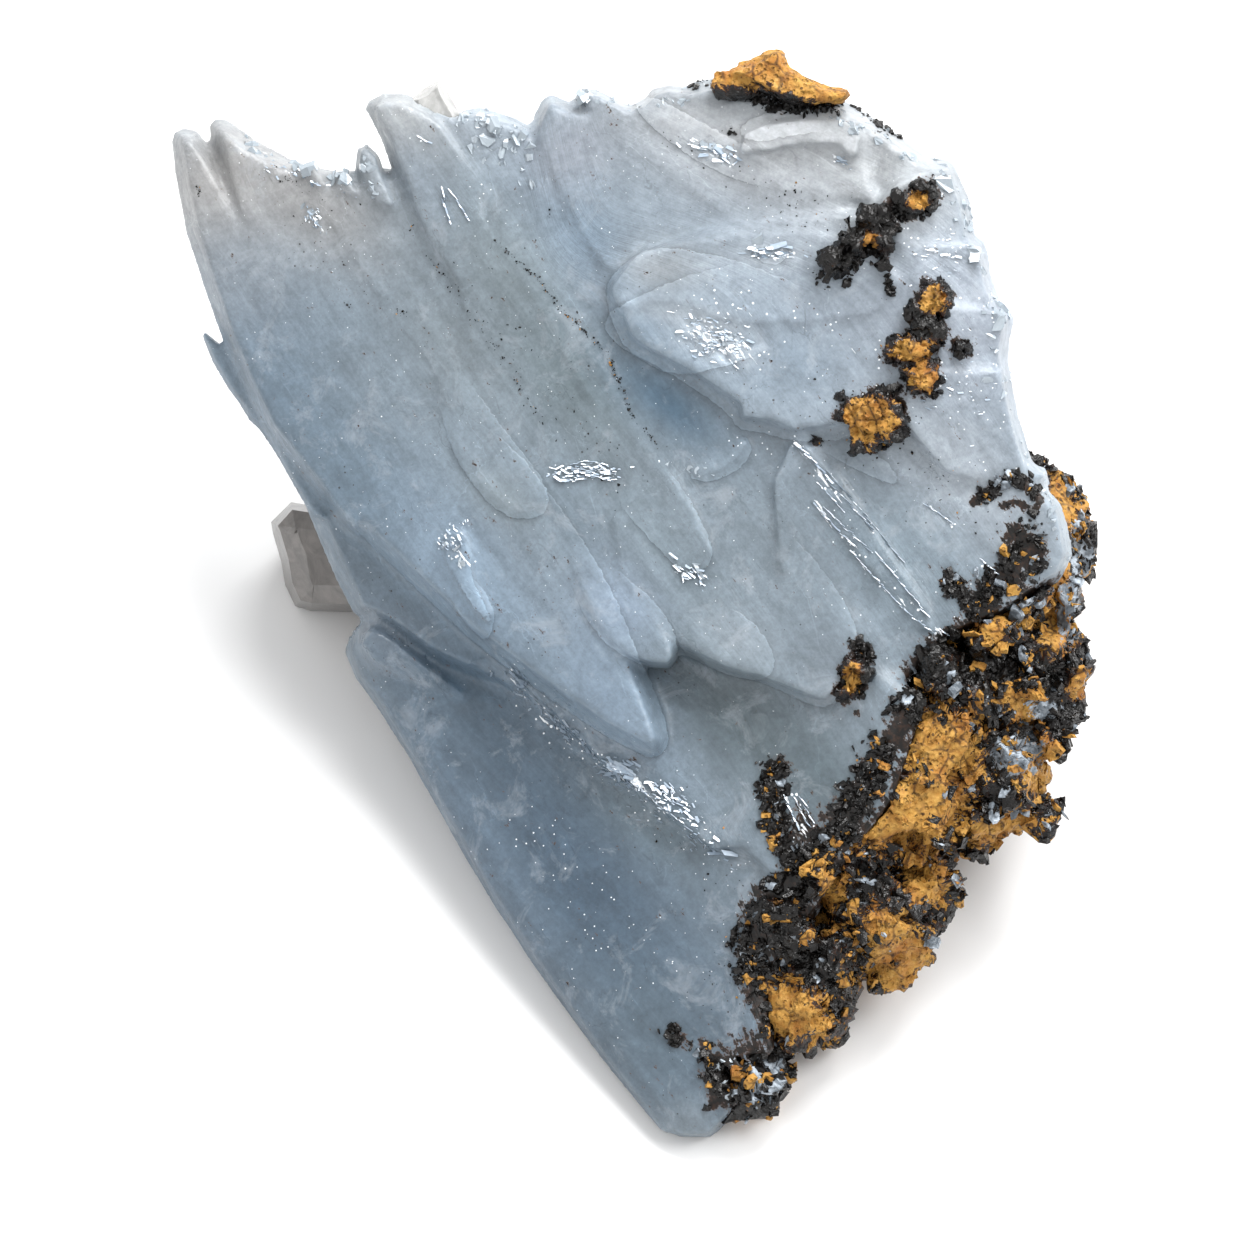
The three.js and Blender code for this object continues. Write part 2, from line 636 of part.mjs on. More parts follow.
// Clear crystals
const smokyCrystal = {
  outline: [
    [29.1, 50.2], [34, 51], [39, 56], [39.5, 60.5], [35, 61.2], [31.1, 61.1], [29.5, 60.6],
    [28.5, 58.5], [28.1, 56.1], [27.3, 53.4], [27.1, 52.2],
  ],
  level: [[27.5, 53, -23.5], [35, 52, -19], [32, 61, -23.5]],
  thick: 12,
  rim: 2.6,
};
const clearCrystal = {
  outline: [[41, 10], [42.4, 8.8], [43.9, 7.9], [44.8, 9.2], [45.9, 11.1], [47, 15], [42.6, 15]],
  level: [[42, 10, -3.4], [44.6, 8.4, -3], [46, 14, -2.6]],
  thick: 3.6,
  rim: 0.8,
};

// An uneven block that narrows upwards over the foot's outline and is lower in front.
function bedrock(margin) {
  const foot = outlinePoints(bedrockFoot);
  const { clamp, inverseLerp, lerp } = THREE.MathUtils;
  const corners = bedrockSteps.flatMap(({ share, inset }) =>
    insetOutline(foot, inset).map((point) => {
      const back = clamp(inverseLerp(BEDROCK_FRONT.y, BEDROCK_BACK.y, point.y), 0, 1);
      const height = share * lerp(BEDROCK_FRONT.height, BEDROCK_BACK.height, back);
      const roughness = BEDROCK_ROUGHNESS * scatter(point.x, point.y, share);
      point.addScaledVector(point.clone().normalize(), roughness + 2 * margin);
      return new THREE.Vector3(point.x, point.y, height + (share === 1 ? 2 * margin : 0));
    }),
  );
  return solidFrom(corners, shellTriangles(foot, bedrockSteps.length));
}

// The rock itself, and the crust on it that laps over the crystals at its edge.
function rockSolid(margin) {
  const inPlan = (x, y, z) => new THREE.Vector3(x, y, z);
  const knobs = bedrockKnobs.map((sizes) => lump(sizes, margin, inPlan));
  return joined([bedrock(margin), ...knobs, ...bandLumps.map((sizes) => lump(sizes, margin))]);
}

function rockCrust() {
  return joined([...crustLumps.map((sizes) => lump(sizes)), blade(ochreSlab)]);
}

function capSolid(margin) {
  return blade(capSlab, margin).add(lump(capFoot, margin));
}

function fanSolid(margin) {
  return joined(fanBlades.map((sizes) => blade(sizes, margin)));
}

const smoky = above(blade(smokyCrystal), 0);
const clear = blade(clearCrystal);
const cap = capSolid(0);
const fanWithGap = fanSolid(GAP);
const rock = rockSolid(0).add(rockCrust().subtract(fanWithGap)).subtract(lump(cavity));
const matrix = mainBody(above(rock, 0).subtract(blade(smokyCrystal, GAP)));
const neighbours = joined([
  rockSolid(GAP), capSolid(GAP), blade(smokyCrystal, GAP), blade(clearCrystal, GAP),
]);
const fan = mainBody(above(fanSolid(0), BARITE_CLEARANCE).subtract(neighbours));

const pieces = { matrix, barite_fan: fan, limonite_cap: mainBody(cap) };
pieces.smoky_crystal = smoky;
pieces.clear_crystal = clear;
for (const [name, lumps] of Object.entries(crustPatches)) {
  const crust = joined(lumps.map((sizes) => lump(sizes)));
  pieces[name] = mainBody(crust.subtract(fanWithGap).subtract(rockSolid(GAP)));
}

const finishes = {
  matrix: { color: 0x6b4a26, roughness: 0.85 },
  barite_fan: { color: 0xa9b6c4, roughness: 0.35 },
  limonite_cap: { color: 0xb3782e, roughness: 0.85 },
  smoky_crystal: { color: 0xa39c92, roughness: 0.15 },
  clear_crystal: { color: 0xc9c9c6, roughness: 0.15 },
  crust: { color: 0x2a2522, roughness: 0.6 },
};

const group = new THREE.Group();
for (const [name, solid] of Object.entries(pieces)) {
  const { vertProperties, triVerts, numProp } = solid.getMesh();
  const geometry = new THREE.BufferGeometry();
  geometry.setAttribute("position", new THREE.BufferAttribute(new Float32Array(vertProperties), numProp));
  geometry.setIndex(new THREE.BufferAttribute(triVerts, 1));
  const finish = finishes[name] ?? finishes.crust;
  const mesh = new THREE.Mesh(geometry, new THREE.MeshStandardMaterial({ ...finish, metalness: 0 }));
  mesh.name = name;
  group.add(mesh);
}
const size = new THREE.Box3().setFromObject(group);
const centre = size.getCenter(new THREE.Vector3());
group.position.set(-centre.x, -centre.y, -size.min.z);

export default group;
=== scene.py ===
"""A hand specimen of barite: a fan of frosted blue-grey blades on a crumbly black and ochre rock.

Every shape is worked out in millimetres on a square sheet laid on the face of the specimen, x to the
right, y down the sheet and rise out of it, and is turned to its place by the class Sheet. Blender's
meshes are in metres.
"""

import json
import logging
import math
from collections.abc import Callable
from dataclasses import dataclass, field
from enum import Enum

import bmesh
import bpy
import numpy as np
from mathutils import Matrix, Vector
from mathutils.bvhtree import BVHTree

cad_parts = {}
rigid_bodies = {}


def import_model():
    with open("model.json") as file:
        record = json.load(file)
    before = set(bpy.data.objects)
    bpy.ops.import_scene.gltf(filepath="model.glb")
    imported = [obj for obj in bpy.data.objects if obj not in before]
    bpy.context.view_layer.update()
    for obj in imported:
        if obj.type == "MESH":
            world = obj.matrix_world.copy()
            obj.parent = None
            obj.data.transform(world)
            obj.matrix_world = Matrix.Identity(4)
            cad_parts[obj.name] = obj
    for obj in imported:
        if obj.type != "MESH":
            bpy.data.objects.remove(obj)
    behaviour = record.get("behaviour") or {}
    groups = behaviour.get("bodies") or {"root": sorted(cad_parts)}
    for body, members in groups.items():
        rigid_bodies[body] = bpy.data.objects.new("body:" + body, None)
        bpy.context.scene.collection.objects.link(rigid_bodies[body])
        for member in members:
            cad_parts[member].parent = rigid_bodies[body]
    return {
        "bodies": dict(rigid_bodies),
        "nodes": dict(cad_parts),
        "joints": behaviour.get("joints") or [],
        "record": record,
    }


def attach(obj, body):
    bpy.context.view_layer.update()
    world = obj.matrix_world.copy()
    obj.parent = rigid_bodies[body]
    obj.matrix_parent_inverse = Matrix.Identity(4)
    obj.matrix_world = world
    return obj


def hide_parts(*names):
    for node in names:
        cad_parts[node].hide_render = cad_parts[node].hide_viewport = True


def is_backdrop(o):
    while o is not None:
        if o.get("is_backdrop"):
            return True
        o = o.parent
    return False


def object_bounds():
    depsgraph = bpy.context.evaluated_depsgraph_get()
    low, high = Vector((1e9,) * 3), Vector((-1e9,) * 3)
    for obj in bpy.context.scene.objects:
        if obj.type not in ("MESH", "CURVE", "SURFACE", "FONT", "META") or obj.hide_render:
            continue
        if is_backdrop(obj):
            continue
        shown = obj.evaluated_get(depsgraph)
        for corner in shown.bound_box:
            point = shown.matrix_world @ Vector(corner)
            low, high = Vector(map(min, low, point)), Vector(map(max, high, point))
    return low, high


MM = 0.001
LOG = logging.getLogger("barite")
Point = tuple[float, float]
Point3 = tuple[float, float, float]
Colour = tuple[float, float, float]
# how bright a white surface looks in the light, what its shine adds, and the darkest colour, all linear
LIT_WHITE: Colour = (1.38, 1.41, 1.44)
SHEEN = 0.035
DARKEST = 0.004


def linear(colour: Colour) -> Colour:
    """Turns a colour as seen on a screen into the linear one that shaders use."""
    return tuple(c / 12.92 if c <= 0.04045 else ((c + 0.055) / 1.055) ** 2.4 for c in colour)


def smooth_step(low: float, high: float, values: np.ndarray) -> np.ndarray:
    """Rises softly from 0 at low to 1 at high."""
    share = np.clip((values - low) / (high - low), 0.0, 1.0)
    return share * share * (3.0 - 2.0 * share)


def own_colour(seen: Colour) -> Colour:
    """The linear colour of a surface that looks as given, in sRGB, where light falls on it."""
    return tuple(max((part - SHEEN) / full, DARKEST) for part, full in zip(linear(seen), LIT_WHITE))


@dataclass(frozen=True)
class Sheet:
    """The square sheet on the specimen's face, and the eye that looks square at its middle.

    Attributes:
        middle: half the sheet's width, in mm
        lean: how far the face rises towards the back, in degrees
        height: height of the sheet's middle over the rest plane, in mm
        distance: from the eye to the sheet's middle, in mm
        shift: from the sheet's own ground point to the specimen's origin, in mm
    """

    middle: float = 62.7
    lean: float = 27.0
    height: float = 27.0
    distance: float = 800.0
    shift: tuple[float, float, float] = (-1.058, -4.291, 0.0)

    @property
    def _turn(self) -> np.ndarray:
        """Rows are the sheet's right, up and outward directions."""
        cos, sin = math.cos(math.radians(self.lean)), math.sin(math.radians(self.lean))
        return np.array([[1.0, 0.0, 0.0], [0.0, cos, sin], [0.0, -sin, cos]])

    @property
    def outward(self) -> np.ndarray:
        """The direction from the face to the eye."""
        return self._turn[2]

    def direction(self, right: float, down: float, out: float = 0.0) -> np.ndarray:
        """A direction given along the sheet's own axes, at unit length."""
        way = np.array([right, -down, out]) @ self._turn
        return way / np.linalg.norm(way)

    def place(self, x: np.ndarray, y: np.ndarray, rise: np.ndarray) -> np.ndarray:
        """Turns sheet coordinates into places on the specimen.

        Args:
            x: mm to the right on the sheet
            y: mm down the sheet
            rise: mm out of the face

        Returns:
            Places in mm, one row each.
        """
        x, y, rise = np.broadcast_arrays(np.asarray(x, float), np.asarray(y, float), np.asarray(rise, float))
        narrowing = 1.0 - rise / self.distance
        local = np.stack([(x - self.middle) * narrowing, (self.middle - y) * narrowing, rise], axis=-1)
        return local @ self._turn + np.array([0.0, 0.0, self.height]) + np.array(self.shift)

    def locate(self, places: np.ndarray) -> np.ndarray:
        """Turns places in mm into rows of x, y and rise on the sheet."""
        local = (places - np.array(self.shift) - np.array([0.0, 0.0, self.height])) @ self._turn.T
        narrowing = 1.0 - local[:, 2] / self.distance
        x = self.middle + local[:, 0] / narrowing
        y = self.middle - local[:, 1] / narrowing
        return np.column_stack([x, y, local[:, 2]])

    @property
    def eye(self) -> np.ndarray:
        """The eye's place in mm."""
        return self.place(self.middle, self.middle, 0.0) + self.outward * self.distance


SHEET = Sheet()


@dataclass(frozen=True)
class Noise:
    """Repeatable uneven values over points in mm.

    Attributes:
        seed: picks one pattern out of many
    """

    seed: int

    def _hash(self, cells: np.ndarray, salt: int = 0) -> np.ndarray:
        """A number from 0 to 1 for each whole-numbered cell."""
        mask = 0xFFFFFFFF
        x, y, z = (cells[..., i].astype(np.int64) & mask for i in range(3))
        mixed = (x * 374761393 + y * 668265263 + z * 1103515245 + (self.seed * 7919 + salt) * 97531) & mask
        mixed = ((mixed ^ (mixed >> 13)) * 1274126177) & mask
        mixed = ((mixed ^ (mixed >> 16)) * 668265263) & mask
        return ((mixed ^ (mixed >> 15)) & 0xFFFFFF) / float(0xFFFFFF)

    def smooth(self, points: np.ndarray, size: float) -> np.ndarray:
        """Soft swells of about the given size in mm, from -1 to 1."""
        scaled = points / size
        base = np.floor(scaled)
        share = scaled - base
        share = share**3 * (share * (share * 6.0 - 15.0) + 10.0)
        total = np.zeros(len(points))
        for corner in np.ndindex(2, 2, 2):
            weight = np.ones(len(points))
            for axis, step in enumerate(corner):
                weight *= share[:, axis] if step else 1.0 - share[:, axis]
            total += weight * self._hash(base + np.array(corner))
        return total * 2.0 - 1.0

    def layered(self, points: np.ndarray, size: float, layers: int = 4, fade: float = 0.5) -> np.ndarray:
        """Swells with smaller ones on them, each layer half the size of the one before."""
        total, weight, whole = np.zeros(len(points)), 1.0, 0.0
        for layer in range(layers):
            total += weight * Noise(self.seed + 31 * layer).smooth(points, size / 2**layer)
            whole += weight
            weight *= fade
        return total / whole

    def facets(self, points: np.ndarray, size: float) -> np.ndarray:
        """Flat faces that meet at angles, like broken rock, each about as wide as size, from -1 to 1."""
        scaled = points / size
        base = np.floor(scaled)
        nearest = np.full(len(points), 9.0)
        height = np.zeros(len(points))
        for step in np.ndindex(3, 3, 3):
            cell = base + np.array(step) - 1.0
            middle = cell + np.stack([self._hash(cell, salt) for salt in (11, 23, 37)], axis=-1)
            way = np.stack([self._hash(cell, salt) for salt in (41, 43, 47)], axis=-1) * 2.0 - 1.0
            offset = scaled - middle
            reach = np.linalg.norm(offset, axis=1)
            slope = np.einsum("ij,ij->i", offset, way) + self._hash(cell, 59) - 0.5
            height = np.where(reach < nearest, slope, height)
            nearest = np.minimum(nearest, reach)
        return np.clip(height, -1.0, 1.0)


@dataclass(frozen=True)
class Stroke:
    """A soft line on the sheet, along which something is raised, sunk or coloured.

    Attributes:
        path: points in mm on the sheet
        width: how far from the line it fades, in mm
        amount: its height or strength in the middle
    """

    path: tuple[Point, ...]
    width: float
    amount: float = 1.0

    def nearness(self, x: np.ndarray, y: np.ndarray) -> np.ndarray:
        """How near each point is to the line, 1 on it and 0 far off."""
        best = np.full(len(x), 1e9)
        for (ax, ay), (bx, by) in zip(self.path, self.path[1:] or self.path):
            dx, dy = bx - ax, by - ay
            length = max(dx * dx + dy * dy, 1e-9)
            along = np.clip(((x - ax) * dx + (y - ay) * dy) / length, 0.0, 1.0)
            best = np.minimum(best, (x - ax - along * dx) ** 2 + (y - ay - along * dy) ** 2)
        return np.exp(-best / self.width**2)

    def scatter(self, count: int, chance: np.random.Generator) -> np.ndarray:
        """Rows of x and y, spread along the line and around it."""
        corners = np.array(self.path if len(self.path) > 1 else self.path * 2, float)
        lengths = np.linalg.norm(np.diff(corners, axis=0), axis=1) + 1e-9
        leg = chance.choice(len(lengths), count, p=lengths / lengths.sum())
        share = chance.random(count)[:, None]
        spread = chance.normal(0.0, self.width * 0.6, (count, 2))
        return corners[leg] * (1.0 - share) + corners[leg + 1] * share + spread


@dataclass(frozen=True)
class Patch:
    """An oval on the sheet.

    Attributes:
        x: its middle, mm to the right
        y: its middle, mm down
        across: half its length in mm
        down: half its width in mm
        turn: how far its length is turned down from the right, in degrees
    """

    x: float
    y: float
    across: float
    down: float
    turn: float = 0.0

    def reach(self, x: np.ndarray, y: np.ndarray) -> np.ndarray:
        """Distance of each point from the middle, 1 on the rim."""
        cos, sin = math.cos(math.radians(self.turn)), math.sin(math.radians(self.turn))
        dx, dy = x - self.x, y - self.y
        return np.hypot((dx * cos + dy * sin) / self.across, (dy * cos - dx * sin) / self.down)

    def share(self, x: np.ndarray, y: np.ndarray) -> np.ndarray:
        """1 in the middle, fading softly to 0 well outside the rim."""
        return np.exp(-self.reach(x, y) ** 2)


@dataclass(frozen=True)
class Tip:
    """The outline of a blade's end where it lies almost level on the next one.

    Attributes:
        corners: places on the sheet, in order around it
        growth: how far the blade's length is turned down from the right, in degrees
    """

    corners: tuple[Point, ...]
    growth: float = 54.0

    def _rounded(self) -> np.ndarray:
        """The corners with their angles cut off twice."""
        corners = np.array(self.corners)
        for _ in range(2):
            following = np.roll(corners, -1, axis=0)
            pairs = (corners * 0.75 + following * 0.25, corners * 0.25 + following * 0.75)
            corners = np.stack(pairs, axis=1).reshape(-1, 2)
        return corners

    def inside(self, x: np.ndarray, y: np.ndarray) -> np.ndarray:
        """How far each place lies inside the outline, in mm, negative outside."""
        corners = self._rounded()
        (left, top), (right, bottom) = corners.min(axis=0) - 2.0, corners.max(axis=0) + 2.0
        depth = np.full(len(x), -9.0)
        close = np.flatnonzero((x > left) & (x < right) & (y > top) & (y < bottom))
        px, py = x[close], y[close]
        nearest = np.full(len(close), 9.0)
        crossings = np.zeros(len(close), int)
        for (ax, ay), (bx, by) in zip(corners, np.roll(corners, -1, axis=0)):
            dx, dy = bx - ax, by - ay
            along = np.clip(((px - ax) * dx + (py - ay) * dy) / (dx * dx + dy * dy), 0.0, 1.0)
            nearest = np.minimum(nearest, np.hypot(px - ax - along * dx, py - ay - along * dy))
            crossings += ((ay > py) != (by > py)) & (px < (py - ay) * dx / (dy if dy else 1.0) + ax)
        depth[close] = np.where(crossings % 2 == 1, nearest, -nearest)
        return depth

    def shown(self, x: np.ndarray, y: np.ndarray) -> np.ndarray:
        """How clearly the outline shows, from 0 at the end towards the rock to 1 at the free end."""
        turn = math.radians(self.growth)
        way = np.array([math.cos(turn), math.sin(turn)])
        ends = np.array(self.corners) @ way
        part = (x * way[0] + y * way[1] - ends.min()) / (ends.max() - ends.min())
        return smooth_step(0.12, 0.6, part)


def search_tree(pieces: list[bpy.types.Object]) -> BVHTree:
    """One search tree of all the faces of several mesh objects, in metres."""
    corners: list[Vector] = []
    faces: list[tuple[int, ...]] = []
    for piece in pieces:
        start = len(corners)
        corners += [v.co for v in piece.data.vertices]
        faces += [tuple(i + start for i in p.vertices) for p in piece.data.polygons]
    return BVHTree.FromPolygons(corners, faces)


def new_piece(name: str, corners: list, faces: list) -> bpy.types.Object:
    """Adds a mesh object made of corners in metres and faces."""
    mesh = bpy.data.meshes.new(name)
    mesh.from_pydata(corners, [], faces)
    piece = bpy.data.objects.new(name, mesh)
    bpy.context.scene.collection.objects.link(piece)
    return piece


class Skin:
    """A mesh object's points, normals and values, read and written as arrays in mm."""

    def __init__(self, piece: bpy.types.Object) -> None:
        """Takes hold of a mesh object whose own place is the origin."""
        self.piece = piece

    @property
    def mesh(self) -> bpy.types.Mesh:
        """The object's mesh."""
        return self.piece.data

    @classmethod
    def grown(cls, nodes: list[bpy.types.Object], name: str, grain: float, rounds: int) -> "Skin":
        """Makes a fine even mesh of solids and softens its edges.

        Args:
            nodes: the solids, joined in one where there are several
            name: the new piece's name
            grain: width of the mesh's faces in mm
            rounds: how many times the surface is smoothed

        Returns:
            The skin of the new piece.
        """
        built = bmesh.new()
        for node in nodes:
            built.from_mesh(node.data)
        mesh = bpy.data.meshes.new(name)
        built.to_mesh(mesh)
        built.free()
        piece = bpy.data.objects.new(name, mesh)
        bpy.context.scene.collection.objects.link(piece)
        remesh = piece.modifiers.new("grain", "REMESH")
        remesh.mode = "VOXEL"
        remesh.voxel_size = grain * MM
        smooth = piece.modifiers.new("soft", "SMOOTH")
        smooth.factor = 0.5
        smooth.iterations = rounds
        skin = cls(piece)
        skin.settle()
        return skin

    def settle(self) -> None:
        """Applies the modifiers that the piece has."""
        view = bpy.context.evaluated_depsgraph_get()
        applied = bpy.data.meshes.new_from_object(self.piece.evaluated_get(view))
        old = self.piece.data
        self.piece.modifiers.clear()
        self.piece.data = applied
        bpy.data.meshes.remove(old)
        applied.name = self.piece.name
        applied.materials.clear()

    @property
    def points(self) -> np.ndarray:
        """The vertices' places in mm."""
        flat = np.empty(len(self.mesh.vertices) * 3)
        self.mesh.vertices.foreach_get("co", flat)
        return flat.reshape(-1, 3) / MM

    @points.setter
    def points(self, places: np.ndarray) -> None:
        """Moves the vertices to places in mm."""
        self.mesh.vertices.foreach_set("co", (places * MM).ravel())
        self.mesh.update()

    @property
    def normals(self) -> np.ndarray:
        """The vertices' outward directions."""
        flat = np.empty(len(self.mesh.vertices) * 3)
        self.mesh.vertex_normals.foreach_get("vector", flat)
        return flat.reshape(-1, 3)

    def smoothed(self, rounds: int) -> np.ndarray:
        """Where the vertices would be after many rounds of smoothing, in mm."""
        smooth = self.piece.modifiers.new("look", "SMOOTH")
        smooth.factor = 0.5
        smooth.iterations = rounds
        view = bpy.context.evaluated_depsgraph_get()
        seen = self.piece.evaluated_get(view).data
        flat = np.empty(len(seen.vertices) * 3)
        seen.vertices.foreach_get("co", flat)
        self.piece.modifiers.remove(smooth)
        return flat.reshape(-1, 3) / MM

    def bulge(self, rounds: int) -> np.ndarray:
        """How far each vertex stands out of the smoothed surface, in mm: edges over 0, creases under."""
        return np.einsum("ij,ij->i", self.points - self.smoothed(rounds), self.normals)

    def push(self, distance: np.ndarray) -> None:
        """Moves each vertex along its normal by a distance in mm."""
        self.points = self.points + self.normals * distance[:, None]

    def fill_creases(self, rounds: int, most: float) -> None:
        """Lifts the bottoms of creases towards their sides, by no more than a distance in mm."""
        self.push(np.clip(-self.bulge(rounds), 0.0, most))

    def hug(self, node: bpy.types.Object, share: float) -> None:
        """Draws the vertices back towards the surface of the solid they were made from."""
        tree = search_tree([node])
        points = self.points
        nearest = np.array([tree.find_nearest(Vector(p * MM))[0] for p in points]) / MM
        self.points = points + (nearest - points) * share

    def keep_inside(self, low: np.ndarray, high: np.ndarray) -> None:
        """Holds every vertex inside a box in mm."""
        self.points = np.clip(self.points, low, high)

    def write(self, name: str, values: np.ndarray) -> None:
        """Stores a number, a direction or a colour for each vertex, which a material reads by name."""
        kind, field_name = ("FLOAT", "value") if values.ndim == 1 else ("FLOAT_VECTOR", "vector")
        layer = self.mesh.attributes.get(name) or self.mesh.attributes.new(name, kind, "POINT")
        layer.data.foreach_set(field_name, np.ascontiguousarray(values, np.float32).ravel())

    def shade_smooth(self) -> None:
        """Lets light run smoothly over the faces."""
        self.mesh.polygons.foreach_set("use_smooth", np.ones(len(self.mesh.polygons), bool))

    def tree(self) -> BVHTree:
        """A search tree of the faces, in metres."""
        return search_tree([self.piece])


class Ground:
    """The finished surfaces, on which small things are set where the sheet marks them."""

    def __init__(self, **skins: Skin) -> None:
        """Makes a search tree of each skin, kept under its own word."""
        self.trees = {word: skin.tree() for word, skin in skins.items()}

    def under(self, x: float, y: float) -> tuple[np.ndarray, np.ndarray, str] | None:
        """The nearest surface to the eye at a place of the sheet.

        Args:
            x: mm to the right
            y: mm down

        Returns:
            The place in mm, the surface's direction there and the skin's word, or None where the sheet
            shows nothing.
        """
        eye = SHEET.eye
        way = SHEET.place(x, y, 0.0) - eye
        way /= np.linalg.norm(way)
        found = None
        for word, tree in self.trees.items():
            spot, normal, _, far = tree.ray_cast(Vector(eye * MM), Vector(way))
            if spot is not None and (found is None or far < found[3]):
                found = (np.array(spot) / MM, np.array(normal), word, far)
        return None if found is None else found[:3]


class Wiring:
    """Adds and joins the shader nodes of one material."""

    def __init__(self, name: str) -> None:
        """Starts an empty material."""
        self.material = bpy.data.materials.new(name)
        self.material.use_nodes = True
        self.tree = self.material.node_tree
        self.tree.nodes.clear()

    def node(self, kind: str, settings: dict | None = None, **inputs: object) -> bpy.types.Node:
        """Adds a node.

        Args:
            kind: the node's type, without the words ShaderNode
            settings: its own choices, by attribute name
            inputs: its sockets by name, with _ for a space, each a value or another node's socket

        Returns:
            The new node.
        """
        made = self.tree.nodes.new("ShaderNode" + kind)
        for key, value in (settings or {}).items():
            setattr(made, key, value)
        for key, value in inputs.items():
            self.plug(made.inputs[key.replace("_", " ")], value)
        return made

    def plug(self, socket: bpy.types.NodeSocket, value: object) -> None:
        """Links a socket to an input, or sets the input's value."""
        if isinstance(value, bpy.types.NodeSocket):
            self.tree.links.new(value, socket)
        elif isinstance(value, tuple) and len(value) == 3 and socket.type == "RGBA":
            socket.default_value = (*value, 1.0)
        else:
            socket.default_value = value

    def read(self, name: str, output: str = "Fac") -> bpy.types.NodeSocket:
        """A value or vector that the mesh holds under a name."""
        return self.node("Attribute", {"attribute_name": name}).outputs[output]

    def noise(
        self, size: float, detail: float = 4.0, rough: float = 0.55, at: object = None, warp: float = 0.0
    ) -> bpy.types.NodeSocket:
        """Uneven values from 0 to 1.

        Args:
            size: width of the swells in mm
            detail: how many finer layers there are
            rough: how strong the finer layers are
            at: coordinates in mm to use in place of the object's own
            warp: how far the pattern is bent

        Returns:
            The noise's value.
        """
        coordinates = at if at is not None else self.node("TexCoord").outputs["Object"]
        scale = 1.0 / size if at is not None else 1.0 / (size * MM)
        made = self.node("TexNoise", None, Vector=coordinates, Scale=scale, Detail=detail, Roughness=rough)
        made.inputs["Distortion"].default_value = warp
        return made.outputs["Fac"]

    def grains(self, size: float, feature: str = "F1", at: object = None) -> bpy.types.NodeSocket:
        """Uneven cells: how far each point is from the middle of its cell, or from its edge."""
        coordinates = at if at is not None else self.node("TexCoord").outputs["Object"]
        scale = 1.0 / size if at is not None else 1.0 / (size * MM)
        made = self.node("TexVoronoi", {"feature": feature}, Vector=coordinates, Scale=scale)
        return made.outputs["Distance"]

    def math(self, kind: str, *values: object) -> bpy.types.NodeSocket:
        """A sum, product or other operation on one to three numbers."""
        made = self.node("Math", {"operation": kind})
        for socket, value in zip(made.inputs, values):
            self.plug(socket, value)
        return made.outputs[0]

    def vector(self, kind: str, *values: object) -> bpy.types.NodeSocket:
        """A sum, product or other operation on one to three vectors."""
        made = self.node("VectorMath", {"operation": kind})
        for socket, value in zip(made.inputs, values):
            self.plug(socket, value)
        return made.outputs[0]

    def span(self, value: object, low: float, high: float, first: float = 0.0, last: float = 1.0) -> object:
        """Maps a number from one range to another, held at both ends."""
        made = self.node("MapRange", {"clamp": True})
        for socket, number in zip(made.inputs, (value, low, high, first, last)):
            self.plug(socket, number)
        return made.outputs[0]

    def blend(self, share: object, first: object, second: object) -> bpy.types.NodeSocket:
        """Mixes two colours by a share from 0 to 1."""
        made = self.node("Mix", {"data_type": "RGBA"})
        self.plug(made.inputs[0], share)
        self.plug(made.inputs[6], first)
        self.plug(made.inputs[7], second)
        return made.outputs[2]

    def bump(self, height: object, depth: float, strength: float) -> bpy.types.NodeSocket:
        """Fine relief, with its full depth in mm."""
        made = self.node("Bump", None, Height=height, Strength=strength, Distance=depth * MM)
        return made.outputs["Normal"]

    def finish(self, **inputs: object) -> bpy.types.Material:
        """Ends the material in one shader with the given inputs."""
        shader = self.node("BsdfPrincipled", {"subsurface_method": "BURLEY"}, **inputs)
        output = self.node("OutputMaterial")
        self.tree.links.new(shader.outputs[0], output.inputs["Surface"])
        return self.material


WARM_GREY: Colour = (0.69, 0.695, 0.70)
WHITE_GREY: Colour = (0.73, 0.75, 0.765)
COOL_WHITE: Colour = (0.70, 0.745, 0.79)
# frost white: the barite's own frosted white, also used for painted highlights on rims and bright spots
FROST_AND_HIGHLIGHT_WHITE: Colour = (0.79, 0.83, 0.87)
PALE_BLUE: Colour = (0.63, 0.68, 0.73)
BODY: Colour = (0.55, 0.605, 0.65)
# dark grey-green: partly painted shade of the plate lying below the tongue tips
DARK_GREEN_AND_SHADE: Colour = (0.42, 0.465, 0.49)
# the lower plate's slate blue: partly its own deep colour, partly painted shade
SLATE_AND_SHADE: Colour = (0.37, 0.435, 0.50)


